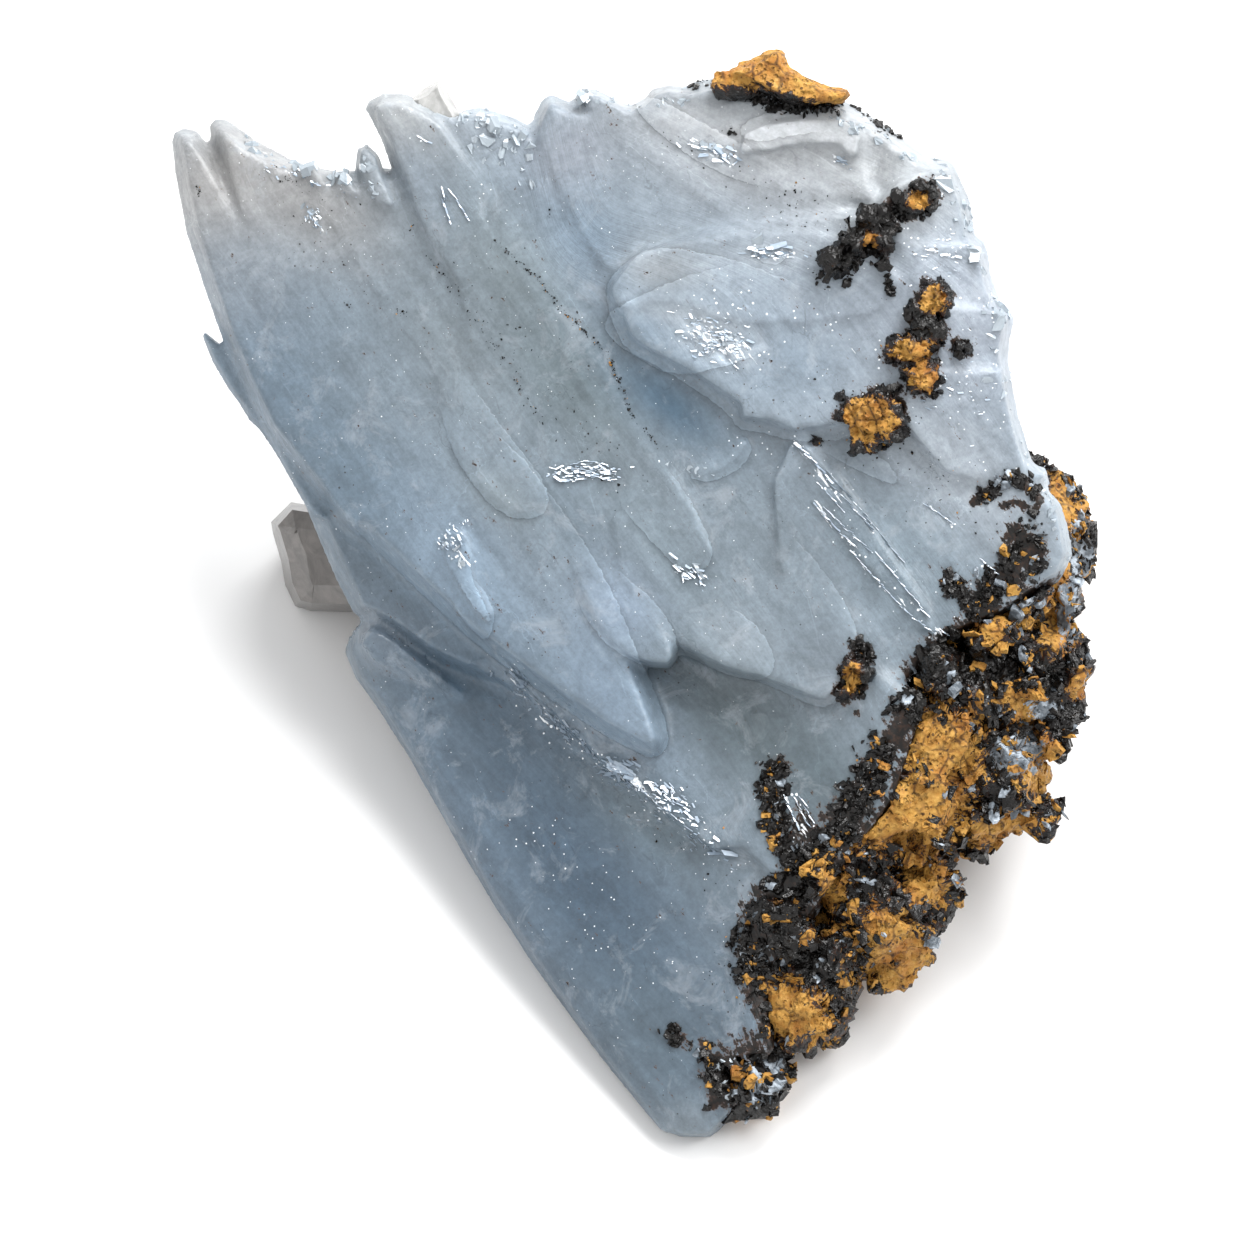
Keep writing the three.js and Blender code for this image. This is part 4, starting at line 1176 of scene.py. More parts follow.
    def _set_off(self, tips: tuple[Tip, ...], x: np.ndarray, y: np.ndarray) -> tuple[np.ndarray, np.ndarray]:
        """How deep each vertex lies in the nearest tip, in mm, and how clearly that tip shows."""
        deepest, clearest = np.full(len(x), -9.0), np.zeros(len(x))
        for tip in tips:
            depth = tip.inside(x, y)
            closer = depth > deepest
            deepest = np.where(closer, depth, deepest)
            clearest = np.where(closer, tip.shown(x, y), clearest)
        return deepest, clearest

    def _along(self, spots: np.ndarray) -> np.ndarray:
        """Turns sheet coordinates to rows of mm across the growth, along it, and out of the face."""
        upper = smooth_step(52.0, 62.0, spots[:, 0]) * smooth_step(30.0, 20.0, spots[:, 1])
        lower = smooth_step(60.0, 72.0, spots[:, 1]) * smooth_step(80.0, 70.0, spots[:, 0])
        turn = np.radians(self.growth - 26.0 * upper - 9.0 * lower)
        cos, sin = np.cos(turn), np.sin(turn)
        x, y = spots[:, 0] - SHEET.middle, spots[:, 1] - SHEET.middle
        return np.column_stack([y * cos - x * sin, x * cos + y * sin, spots[:, 2]])

    def build(self, node: bpy.types.Object, soil: Soiling, rock: BVHTree, crusts: BVHTree) -> Skin:
        """Makes the fan.

        Args:
            node: its solid
            soil: where iron oxide lies on it
            rock: search tree of the rock's solid
            crusts: search tree of the crusts' solids

        Returns:
            The fan's skin.
        """
        skin = Skin.grown([node], "barite_blades", self.grain, 1)
        skin.hug(node, 0.7)
        for _ in range(3):
            skin.fill_creases(self.crease_rounds, self.crease_filling)
        spots = SHEET.locate(skin.points)
        grain = self._along(spots)
        swell = self.noise.layered(grain * np.array([1.0, 0.3, 1.0]), 6.0, 3) * self.swell
        ribs = Noise(19).layered(grain * np.array([1.0, 0.06, 1.0]), 0.9, 2) * self.ribs
        x, y = spots[:, 0], spots[:, 1]
        glint = np.max([stroke.amount * stroke.nearness(x, y) for stroke in self.glints], axis=0)
        rough = Noise(29).facets(grain * np.array([1.0, 0.4, 1.0]), 1.3) * 0.3 * glint
        drawn = {"tip": self.tips, "other_tip": self.other_tips, "blade_end": self.blade_ends}
        marks = {word: self._set_off(tips, x, y) for word, tips in drawn.items()}
        steps = sum(smooth_step(-0.25, 0.25, depth) * shown for depth, shown in marks.values())
        skin.push(swell + ribs + rough + steps * self.tip_step)
        bulge = skin.bulge(5)
        rim = smooth_step(0.05, 0.22, bulge)
        gloss = np.max([patch.share(x, y) for patch in self.glossy], axis=0)
        skin.write("tone", self._colours(x, y, rim, smooth_step(0.05, 0.25, -bulge)))
        skin.write("grain", grain)
        for word, (depth, shown) in marks.items():
            skin.write(word, np.clip(depth, -2.0, 4.0))
            skin.write(word + "_shown", shown)
        skin.write("stain", soil.share(skin.points, rock, crusts))
        skin.write("glint", glint)
        skin.write("frost", self.frosting - 0.08 * rim - 0.16 * gloss)
        skin.shade_smooth()
        return skin


@dataclass
class IronRock:
    """The matrix that the fan grew from.

    Attributes:
        grain: width of the mesh's faces in mm
        noise: the pattern of its lumps
        lumps: size and height of its lumps, in mm
        broken: pattern, size and height of its broken faces, in mm, from large to small
        pit_depth: depth of its pits in mm
        evened: share of the relief that is missing where it is earthy ochre
        ochre: where the sheet shows earthy ochre
        spar: where grey pieces of barite show in the rock
    """

    grain: float = 0.45
    noise: Noise = Noise(101)
    lumps: tuple[float, float] = (6.0, 0.8)
    broken: tuple[tuple[Noise, float, float], ...] = (
        (Noise(101), 3.6, 1.1),
        (Noise(131), 1.7, 0.7),
        (Noise(139), 0.9, 0.3),
    )
    pit_depth: float = 1.3
    evened: float = 0.55
    ochre: tuple[Patch, ...] = (
        Patch(94, 75, 5, 4.4, -50),
        Patch(92, 81, 5.4, 4.2, -40),
        Patch(89.5, 82, 4.6, 2.4, -30),
        Patch(92.5, 88.5, 2.4, 2.4, 0),
        Patch(89.5, 95.4, 4.2, 4.4, -50),
        Patch(78.6, 101.5, 3, 4.8, -70),
        Patch(83, 89.5, 1.5, 3.6, 20),
        Patch(106.4, 50, 1.0, 3.4, -20),
        Patch(104, 55.6, 1.4, 1.6, 0),
        Patch(106, 58, 1.0, 2.2, 0),
        Patch(105.5, 63, 2.2, 2.4, 0),
        Patch(108, 68.5, 1.4, 1.6, 0),
        Patch(102, 70.5, 2, 1.6, 40),
        Patch(104, 77, 2.4, 3, 0),
        Patch(100, 83, 4, 1.6, -10),
        Patch(99.5, 62, 1.6, 2.6, 30),
    )
    spar: tuple[Patch, ...] = (
        Patch(108.2, 55, 1.2, 3.6, 0),
        Patch(107, 61, 1.3, 3.4, 0),
        Patch(101.5, 75.5, 2.6, 2.2, 0),
        Patch(76.5, 108, 1.8, 2.6, 30),
        Patch(104.5, 71, 1.6, 1.0, 0),
    )

    def roughened(self, points: np.ndarray) -> np.ndarray:
        """Height of the rock's lumps, broken faces and pits over its smooth shape, in mm."""
        size, rise = self.lumps
        height = self.noise.layered(points, size, 3) * rise
        for noise, size, rise in self.broken:
            height += noise.facets(points, size) * rise
        pits = smooth_step(0.25, 0.6, Noise(149).layered(points, 3.0, 3))
        spots = SHEET.locate(points)
        earthy = smooth_step(0.56, 0.74, self.ochre_share(spots[:, 0], spots[:, 1]))
        return (height - self.pit_depth * pits) * (1.0 - self.evened * earthy)

    def ochre_share(self, x: np.ndarray, y: np.ndarray) -> np.ndarray:
        """How surely the sheet shows earthy ochre at each place, 0.5 at its rim."""
        return np.clip(np.max([1.0 - 0.5 * patch.reach(x, y) for patch in self.ochre], axis=0), 0.16, 0.86)

    def build(self, node: bpy.types.Object) -> Skin:
        """Makes the rock.

        Args:
            node: its solid

        Returns:
            The rock's skin.
        """
        skin = Skin.grown([node], "rock", self.grain, 1)
        points = skin.points
        height = self.roughened(points)
        foot = smooth_step(0.5, 2.5, points[:, 2])
        skin.push(np.where(points[:, 2] < 0.3, 0.0, height * foot))
        self.dress(skin)
        return skin

    def dress(self, skin: Skin) -> None:
        """Writes where the rock is ochre, grey or hollow."""
        spots = SHEET.locate(skin.points)
        x, y = spots[:, 0], spots[:, 1]
        wild = Noise(163).layered(skin.points, 9.0, 4)
        shown = smooth_step(0.0, 0.35, skin.normals @ SHEET.outward)
        ochre = self.ochre_share(x, y) * shown + (0.47 + 0.7 * wild) * (1.0 - shown)
        spar = np.max([1.0 - 0.5 * patch.reach(x, y) for patch in self.spar], axis=0)
        skin.write("ochre", np.clip(ochre, 0.0, 1.0))
        skin.write("spar", np.clip(spar, 0.0, 1.0) * shown)
        skin.write("crest", skin.bulge(6))
        skin.shade_smooth()


@dataclass
class CrustPatch:
    """A patch of black and ochre crust on the barite.

    Attributes:
        node: the name of its solid, and of the finished piece
        ochre: where it is ochre
        grain: width of the mesh's faces in mm
    """

    node: str
    ochre: tuple[Patch, ...]
    grain: float = 0.2

    def build(self, solid: bpy.types.Object) -> Skin:
        """Makes the patch from its solid."""
        skin = Skin.grown([solid], self.node + "_crumbs", self.grain, 1)
        points = skin.points
        pits = smooth_step(0.1, 0.5, Noise(227).layered(points, 1.6, 2))
        skin.push(Noise(211).facets(points, 1.5) * 0.65 + Noise(223).facets(points, 0.7) * 0.3 - 0.6 * pits)
        spots = SHEET.locate(skin.points)
        reach = [1.0 - 0.5 * patch.reach(spots[:, 0], spots[:, 1]) for patch in self.ochre]
        skin.write("ochre", np.clip(np.max([*reach, np.full(len(points), 0.1)], axis=0), 0.0, 1.0))
        skin.write("spar", np.zeros(len(points)))
        skin.write("crest", skin.bulge(5))
        skin.shade_smooth()
        return skin


CRUST_PATCHES = (
    CrustPatch("crust_upper", (Patch(91.8, 20, 1.0, 0.8), Patch(87, 24, 0.8, 0.8))),
    CrustPatch(
        "crust_middle",
        (Patch(93.2, 30, 1.2, 1.4), Patch(91, 35, 2, 1.2), Patch(92.4, 37.6, 1.4, 1.4)),
    ),
    CrustPatch("crust_flower", (Patch(87, 42, 2.6, 2.2),)),
    CrustPatch("crust_low", (Patch(85.2, 68, 0.9, 1.6),)),
    CrustPatch("crust_speck", ()),
)


class Chips:
    """Many small broken plates or lumps, gathered into one mesh."""

    sides = 6

    def __init__(
        self,
        name: str,
        seed: int,
        thick: float,
        spread: float,
        narrow: float,
        sunk: float = 0.0,
    ) -> None:
        """Starts an empty heap.

        Args:
            name: the piece's name
            seed: picks the chips' shapes
            thick: a chip's thickness as a share of its size
            spread: how unevenly the chips lie, 0 for flat on the surface
            narrow: the least width of a chip as a share of its length
            sunk: how deep each one sits in the surface, as a share of its size
        """
        self.name = name
        self.thick = thick
        self.spread = spread
        self.narrow = narrow
        self.sunk = sunk
        self.chance = np.random.default_rng(seed)
        self.lumps: list[tuple[np.ndarray, np.ndarray, float, float, float]] = []

    def strew(
        self,
        ground: Ground,
        spots: np.ndarray,
        sizes: np.ndarray,
        look: Callable[[float, float], tuple[float, float] | None],
        on: str | None = None,
    ) -> None:
        """Sets a chip at each spot where the sheet shows a surface.

        Args:
            ground: the finished surfaces
            spots: rows of x and y on the sheet
            sizes: each chip's radius in mm
            look: gives a chip's share of ochre and of spar from its x and y, or None for no chip
            on: the word of the only surface to set chips on
        """
        for (x, y), size in zip(spots, sizes):
            found = ground.under(x, y)
            kind = look(x, y)
            if kind is not None and found is not None and on in (None, found[2]):
                self.lumps.append((found[0] - found[1] * size * self.sunk, found[1], size, *kind))

    def _frames(self, outward: np.ndarray) -> np.ndarray:
        """Axes of each chip: two in its plane and one out of the surface, more or less tilted."""
        up = outward + self.chance.normal(0.0, self.spread, outward.shape)
        up /= np.linalg.norm(up, axis=1, keepdims=True)
        side = np.cross(up, self.chance.normal(size=outward.shape))
        side /= np.linalg.norm(side, axis=1, keepdims=True)
        return np.stack([side, np.cross(up, side), up], axis=2)

    def _shapes(self, count: int) -> np.ndarray:
        """The corners of each chip about its middle, the lower ring first, for a size of 1 mm."""
        chance, sides = self.chance, self.sides
        turn = 2.0 * math.pi * (np.arange(sides) + chance.uniform(-0.35, 0.35, (count, sides))) / sides
        reach = chance.uniform(0.55, 1.25, (count, sides))
        wide = chance.uniform(self.narrow, 1.0, (count, 1))
        x, y = reach * np.cos(turn), reach * np.sin(turn) * wide
        high = self.thick * chance.uniform(0.5, 1.3, (count, 1)) + chance.normal(0.0, 0.12, (count, sides))
        lower = np.stack([x, y, np.full_like(x, -0.5 * self.thick - 0.15)], axis=2)
        upper = np.stack([x * 0.86, y * 0.86, high], axis=2)
        return np.concatenate([lower, upper], axis=1)

    def build(self) -> Skin:
        """Makes the mesh of all the chips."""
        count, sides = len(self.lumps), self.sides
        places, outward = (np.array([lump[i] for lump in self.lumps]) for i in (0, 1))
        sizes, ochre, spar = (np.array([lump[i] for lump in self.lumps]) for i in (2, 3, 4))
        shapes = self._shapes(count) * sizes[:, None, None]
        places = places[:, None, :] + np.einsum("nij,nkj->nki", self._frames(outward), shapes)
        ring = range(sides)
        walls = [(i, (i + 1) % sides, sides + (i + 1) % sides, sides + i) for i in ring]
        lids = [(0, i + 1, i) for i in range(1, sides - 1)]
        lids += [(sides, sides + i, sides + i + 1) for i in range(1, sides - 1)]
        faces = [tuple(2 * sides * n + i for i in face) for n in range(count) for face in walls + lids]
        skin = Skin(new_piece(self.name, (places.reshape(-1, 3) * MM).tolist(), faces))
        skin.write("ochre", np.repeat(ochre, 2 * sides))
        skin.write("spar", np.repeat(spar, 2 * sides))
        skin.write("crest", np.zeros(2 * sides * count))
        return skin


@dataclass(frozen=True)
class Dirt:
    """The loose crumbs of iron oxide on the rock, at its edge and on the blades.

    Attributes:
        rock_count: how many spots are tried for chips on the rock
        rock_corners: two corners of the part of the sheet that holds the rock, in mm
        spar_share: share of the chips on the rock that are barite
        film_density: chips along the film, for each square mm
        soil: where the film lies on the blades
        golden: where the crusts are ochre
        specks: small dark inclusions and the crumbs along the seams
        flowers: lines along which the separate crusts send out small crumbs
    """

    rock_count: int = 9800
    rock_corners: tuple[Point, Point] = ((72, 46), (110, 115))
    spar_share: float = 0.09
    film_density: float = 56.0
    soil: Soiling = Soiling()
    golden: tuple[Patch, ...] = (
        Patch(87.4, 42, 2.8, 2.2, 0),
        Patch(92.4, 35.4, 1.8, 1.8, 0),
        Patch(89.6, 34.6, 1.2, 1.0, 0),
        Patch(93.2, 30.4, 1.2, 1.5, 0),
        Patch(91.6, 20.4, 0.8, 0.7, 0),
        Patch(88, 22.6, 0.5, 0.5, 0),
        Patch(85.4, 68, 0.9, 1.2, 0),
    )
    specks: tuple[Stroke, ...] = (
        Stroke(((19.7, 18.8), (20.1, 19.4)), 0.25, 14),
        Stroke(((28.2, 17.8), (29.4, 18.4)), 0.4, 12),
        Stroke(((34.7, 30.4), (35, 30.9)), 0.2, 6),
        Stroke(((39.6, 31.2), (41, 31.4)), 0.25, 12),
        Stroke(((27.2, 16.4), (27.6, 16.8)), 0.3, 5),
        Stroke(((43, 25.8), (44.4, 27.6)), 0.35, 14),
        Stroke(((40.9, 22.2), (41.4, 23.4)), 0.3, 6),
        Stroke(((44.5, 28), (47.6, 31.6), (51, 37), (54.2, 42.6)), 0.5, 60),
        Stroke(((49.5, 24), (53.2, 27.4), (56.4, 31.2), (60.8, 35.4), (63.1, 41.4), (65.8, 44.5)), 0.22, 190),
        Stroke(((54.6, 21.2), (55, 21.6)), 0.2, 5),
        Stroke(((30, 20), (38, 28)), 3.0, 20),
        Stroke(((45, 26), (62, 48)), 3.0, 46),
        Stroke(((68, 15), (84, 22)), 2.4, 40),
        Stroke(((78, 20), (86, 24)), 1.6, 30),
        Stroke(((84, 38), (92, 46)), 2.4, 26),
        Stroke(((90, 44), (100, 52)), 2.6, 40),
        Stroke(((60, 78), (76, 90)), 3.0, 26),
        Stroke(((70, 100), (76, 92)), 2.4, 30),
    )
    flowers: tuple[Stroke, ...] = (
        Stroke((
            (92.8, 18.8), (92.2, 20.6), (89.8, 21.4), (87.8, 23), (86.4, 24.6), (84, 26), (82.2, 27.6),
        ), 0.9, 420),
        Stroke(((87.6, 24.6), (88.6, 26.8), (89.1, 29.4)), 0.35, 70),
        Stroke(((86, 26), (84.8, 28.2)), 0.3, 30),
        Stroke(((84.4, 24), (86.4, 23.6)), 0.35, 26),
        Stroke(((94.2, 29.2), (93, 30.6), (92, 33)), 0.9, 200),
        Stroke(((89.4, 34.6), (91.4, 35.6), (93, 38.4)), 1.1, 300),
        Stroke(((84.8, 40.4), (87.4, 42), (90, 42.6), (86.4, 44)), 1.4, 420),
        Stroke(((95.6, 34.8), (96.6, 34.4)), 0.45, 50),
        Stroke(((84.6, 67.4), (85.6, 69)), 0.8, 120),
        Stroke(((86, 64), (87, 66.4)), 0.45, 50),
        Stroke(((73.8, 8.8), (76.4, 10.2), (79.4, 10.8), (84, 10.6)), 0.7, 240),
        Stroke(((85.4, 9.6), (87.4, 11.9), (89.8, 13.8)), 0.55, 130),
        Stroke(((69, 8.4), (71.6, 8.2)), 0.4, 30),
        Stroke(((73, 13.2), (73.4, 13.4)), 0.25, 8),
    )

    def build(self, ground: Ground, rock: "IronRock") -> list[Skin]:
        """Makes the heaps of chips.

        Args:
            ground: the finished surfaces
            rock: the rock, whose ochre patches the chips on it follow

        Returns:
            The skins of the chips on the rock and of those on the blades.
        """
        return [self._on_rock(ground, rock), self._on_blades(ground)]

    def _on_rock(self, ground: Ground, rock: "IronRock") -> Skin:
        """Plates and splinters all over the rock: ochre ones in patches, black ones between."""
        heap = Chips("rock_chips", 401, thick=0.22, spread=0.42, narrow=0.14, sunk=0.1)
        chance = heap.chance
        count = self.rock_count
        (left, top), (right, bottom) = self.rock_corners
        spots = np.column_stack([chance.uniform(left, right, count), chance.uniform(top, bottom, count)])
        sizes = 0.2 + 1.05 * chance.random(count) ** 2.4
        patchy = Noise(419)

        def look(x: float, y: float) -> tuple[float, float] | None:
            share = rock.ochre_share(np.array([x]), np.array([y]))[0]
            share += 0.6 * patchy.layered(np.array([[x, y * 0.7, 0.0]]), 1.6, 3)[0]
            odd = chance.random()
            if odd < self.spar_share:
                return (0.0, 1.0) if share < 0.6 else None
            if share > 0.62 and odd < 0.9:
                return None
            return (0.0 if share + chance.normal(0.0, 0.13) < 0.44 else 0.9), 0.0

        heap.strew(ground, spots, sizes, look, "rock")
        return heap.build()

    def _on_blades(self, ground: Ground) -> Skin:
        """Chips where the black film is, along the crusts, and the specks in the barite."""
        heap = Chips("blade_chips", 409, thick=0.4, spread=0.6, narrow=0.18)
        chance = heap.chance
        patchy = Noise(421)

        def clumped(x: float, y: float) -> tuple[float, float] | None:
            if patchy.layered(np.array([[x, y, 0.0]]), 1.8, 3)[0] < -0.14:
                return None
            odd = chance.random()
            return (0.9, 0.0) if odd < 0.07 else (0.0, 1.0 if odd > 0.96 else 0.0)

        def mixed(x: float, y: float) -> tuple[float, float] | None:
            share = max(patch.share(np.array([x]), np.array([y]))[0] for patch in self.golden)
            return (0.9, 0.0) if chance.random() < 0.65 * share else (0.0, 0.0)

        def even(x: float, y: float) -> tuple[float, float] | None:
            return (0.9, 0.0) if chance.random() < 0.07 else (0.0, 0.0)

        for stroke in self.soil.strokes:
            length = sum(math.dist(a, b) for a, b in zip(stroke.path, stroke.path[1:]))
            count = int(self.film_density * stroke.width * (length + stroke.width))
            spots = stroke.scatter(count, chance)
            heap.strew(ground, spots, 0.12 + 0.7 * chance.random(count) ** 2.2, clumped, "fan")
        for stroke in self.flowers:
            count = int(stroke.amount)
            spots = stroke.scatter(count, chance)
            heap.strew(ground, spots, 0.12 + 0.6 * chance.random(count) ** 2.5, mixed)
        for stroke in self.specks:
            count = int(stroke.amount)
            spots = stroke.scatter(count, chance)
            heap.strew(ground, spots, 0.06 + 0.13 * chance.random(count) ** 2.0, even, "fan")
        return heap.build()


@dataclass(frozen=True)
class Knobs:
    """Small clear and frosted crystals along the fan's broken edges.

    Attributes:
        rows: where they sit, each with its count and its largest crystal in mm
    """

    rows: tuple[tuple[Stroke, float], ...] = (
        (Stroke(((24.6, 13.6), (28.6, 15.8), (32, 16.8), (35, 17.6)), 1.0, 60), 0.9),
        (Stroke(((35.4, 16), (38, 19.4)), 1.0, 26), 1.0),
        (Stroke(((30.6, 20.6), (32.6, 23.4)), 0.8, 16), 0.7),
        (Stroke(((44.6, 12), (48, 11.8), (52, 14.6)), 1.6, 90), 0.9),
        (Stroke(((48, 15), (53, 17)), 1.6, 30), 0.7),
        (Stroke(((58, 9.6), (64, 10.6), (69, 9.4)), 0.8, 36), 0.8),
        (Stroke(((69.6, 14.6), (73.4, 16.2)), 1.0, 24), 0.8),
        (Stroke(((84, 12), (90, 14.4), (95, 17)), 1.2, 60), 1.0),
        (Stroke(((94.6, 17), (96.6, 21), (97.8, 26), (99.6, 30.6)), 1.2, 70), 0.9),
        (Stroke(((99.8, 30.8), (100.4, 36), (102, 42), (103.4, 46.6)), 1.1, 74), 0.9),
        (Stroke(((104.4, 48.6), (106.6, 53), (107, 57)), 1.0, 50), 1.0),
        (Stroke(((44.2, 53), (46.4, 56.4)), 0.7, 18), 0.6),
        (Stroke(((67, 57.2), (70.4, 57)), 0.6, 16), 0.7),
        (Stroke(((75, 24.8), (79, 25.8)), 0.7, 16), 0.8),
        (Stroke(((70, 33), (74, 35)), 1.4, 46), 0.7),
        (Stroke(((66, 46), (72, 47.6)), 0.6, 14), 0.6),
        (Stroke(((72, 106), (75.4, 110.6)), 1.6, 40), 1.0),
    )

    def build(self, ground: Ground) -> Skin:
        """Makes all of them as one mesh."""
        heap = Chips("edge_crystals", 431, thick=0.42, spread=0.34, narrow=0.4, sunk=0.38)
        for stroke, largest in self.rows:
            count = int(stroke.amount * 0.6)
            sizes = 1.3 * largest * (0.3 + 0.7 * heap.chance.random(count) ** 2.0)
            heap.strew(ground, stroke.scatter(count, heap.chance), sizes, lambda x, y: (0.0, 1.0), "fan")
        return heap.build()


@dataclass(frozen=True)
class Flakes:
    """Small bright cleavage faces and cracks that stand a little out of the blades.

    Attributes:
        seed: picks the flakes' shapes and places
        facing: how far they lean from the blades' face, right and up the sheet and out of it
        clusters: spots with many small flakes, each with its count and widest flake in mm
        streaks: rows of narrow flakes along the growth, each with its width
    """

    seed: int = 503
    facing: Point3 = (0.085, 0.468, 0.88)
    clusters: tuple[tuple[Patch, int, float], ...] = (
        (Patch(62, 77.2, 1.5, 0.9, 30), 18, 1.1),
        (Patch(58.4, 47.3, 3.0, 0.7, -3), 22, 1.0),
        (Patch(56, 72.6, 5.4, 0.6, 40), 18, 0.9),
        (Patch(67.6, 80, 4, 0.7, 40), 16, 0.9),
        (Patch(52, 68.2, 1.2, 0.5, 54), 9, 0.8),
        (Patch(71.6, 34, 2.8, 1.7, 20), 44, 0.75),
        (Patch(77, 25.3, 2.0, 0.6, 0), 8, 1.4),
        (Patch(71.5, 15.2, 1.9, 0.7, 20), 7, 1.2),
        (Patch(48.6, 11.8, 0.9, 0.6, 20), 6, 0.7),
        (Patch(45.2, 54.2, 0.9, 1.2, 54), 7, 0.8),
        (Patch(69, 57.2, 1.6, 0.8, 40), 6, 0.9),
        (Patch(31.4, 21.8, 0.8, 1.0, 60), 7, 0.7),
        (Patch(84.2, 16.2, 0.8, 0.6, 20), 4, 0.8),
        (Patch(94.6, 26, 2.4, 3, 0), 10, 0.7),
        (Patch(96, 38, 3, 4, 0), 12, 0.6),
        (Patch(65, 80, 3, 1.4, 40), 16, 0.6),
        (Patch(70, 84.4, 2, 0.7, 40), 9, 0.6),
        (Patch(30, 17.4, 4, 0.8, 20), 10, 0.5),
        (Patch(46.2, 52.4, 0.5, 0.8, 60), 3, 0.4),
        (Patch(78, 108, 1.6, 1.6, 0), 8, 0.6),
    )
    streaks: tuple[tuple[Stroke, int], ...] = (
        (Stroke(((79.7, 44.4), (81.4, 46.1), (83.2, 48.3)), 0.50), 4),
        (Stroke(((83.2, 48.4), (85, 50.4), (87.3, 53)), 0.14), 7),
        (Stroke(((81.7, 48.2), (84.4, 51.2)), 0.16), 6),
        (Stroke(((81.4, 50.3), (83.4, 52.6), (85.3, 54.5)), 0.26), 6),
        (Stroke(((82.6, 50.9), (85, 53.2), (87.2, 55.2)), 0.14), 7),
        (Stroke(((82.6, 47.0), (86, 50.9), (90.4, 56.2)), 0.12), 9),
        (Stroke(((87.6, 55.4), (90.6, 58.9), (93, 61.8)), 0.18), 7),
        (Stroke(((85, 55), (88, 58.4), (91, 61.5)), 0.24), 12),
        (Stroke(((91, 61.5), (93.6, 63.4)), 0.16), 5),
        (Stroke(((92.4, 50.3), (95.4, 52.4)), 0.18), 6),
        (Stroke(((97.9, 55.8), (99.9, 57.4)), 0.18), 4),
        (Stroke(((93.9, 62.9), (95.7, 64.3)), 0.28), 3),
        (Stroke(((78.4, 79.5), (80, 83)), 0.22), 4),
        (Stroke(((79.2, 79.4), (80.9, 82.6)), 0.16), 4),
        (Stroke(((79.9, 79.6), (81.4, 82.2)), 0.14), 3),
        (Stroke(((44.2, 18.8), (44.5, 20.6), (45, 22.4)), 0.30), 3),
        (Stroke(((44.9, 18.8), (45.8, 20.2), (46.8, 22)), 0.26), 4),
        (Stroke(((41.7, 13.6), (43.2, 14.4)), 0.28), 2),
        (Stroke(((55.3, 47.5), (56.8, 46.9), (58.6, 46.7), (60.4, 46.9), (61.6, 47.4)), 0.30), 7),
        (Stroke(((55.8, 48.2), (57.4, 47.7), (59.4, 47.6), (61.2, 48.1)), 0.24), 6),
        (Stroke(((57, 46.4), (58.8, 46.1), (60.8, 46.4)), 0.20), 5),
        (Stroke(((71.3, 85.3), (73.7, 85.3)), 0.8), 1),
        (Stroke(((51, 67), (55, 71.6)), 0.16), 8),
        (Stroke(((63, 78), (66, 80.6), (69, 83)), 0.16), 10),
    )

    def _slab(
        self, place: np.ndarray, way: np.ndarray, long: float, wide: float, chance: np.random.Generator
    ) -> list[np.ndarray]:
        """The eight corners of one flake, whose upper face leans as the flakes do."""
        right, up, out = self.facing
        top = SHEET.direction(right, -up, out)
        top = top + chance.normal(0.0, 0.1, 3)
        top /= np.linalg.norm(top)
        along = way - top * (way @ top)
        along /= np.linalg.norm(along)
        across = np.cross(top, along)
        lift = 0.35 * (long * abs(along @ SHEET.outward) + wide * abs(across @ SHEET.outward))
        middle = place + SHEET.outward * (lift + 0.03)
        corners = []
        for a, b in ((-1, -1), (1, -1), (1, 1), (-1, 1)):
            a, b = a * chance.uniform(0.6, 1.1), b * chance.uniform(0.6, 1.1)
            corners.append(middle + along * (a * long / 2) + across * (b * wide / 2))
        return corners + [corner - SHEET.outward * (2.2 * lift + 0.4) for corner in corners]

    def _clustered(self, ground: Ground, chance: np.random.Generator) -> list[np.ndarray]:
        """The corners of the flakes in the clusters."""
        corners: list[np.ndarray] = []
        for patch, count, widest in self.clusters:
            for _ in range(4 * count):
                turn = math.radians(patch.turn)
                u, v = chance.normal(0.0, 0.6, 2) * (patch.across, patch.down)
                x = patch.x + u * math.cos(turn) - v * math.sin(turn)
                y = patch.y + u * math.sin(turn) + v * math.cos(turn)
                size = widest * (0.3 + 1.0 * chance.random() ** 2.0)
                angle = math.radians(patch.turn + chance.normal(0.0, 24.0))
                way = SHEET.direction(math.cos(angle), math.sin(angle))
                found = ground.under(x, y)
                if found is not None and found[2] == "fan":
                    corners += self._slab(found[0], way, size, size * chance.uniform(0.12, 0.4), chance)
        return corners

    def _streaked(self, ground: Ground, chance: np.random.Generator) -> list[np.ndarray]:
        """The corners of the flakes in the streaks."""
        corners: list[np.ndarray] = []
        for stroke, count in self.streaks:
            path = np.array(stroke.path)
            legs = np.concatenate([[0.0], np.cumsum(np.linalg.norm(np.diff(path, axis=0), axis=1))])
            stops = np.linspace(0.0, legs[-1], 2 * count + 1)
            for start, stop in zip(stops, stops[1:]):
                mid, gap = (start + stop) / 2, (stop - start) * chance.uniform(1.0, 2.6)
                x, y = (np.interp(mid, legs, path[:, i]) for i in (0, 1))
                ends = [[np.interp(at, legs, path[:, i]) for i in (0, 1)] for at in (start, stop)]
                dx, dy = ends[1][0] - ends[0][0], ends[1][1] - ends[0][1]
                found = ground.under(x + chance.normal(0.0, 0.05), y + chance.normal(0.0, 0.05))
                if found is not None and found[2] == "fan":
                    wide = stroke.width * chance.uniform(0.2, 0.75)
                    corners += self._slab(found[0], SHEET.direction(dx, dy), gap, wide, chance)
        return corners

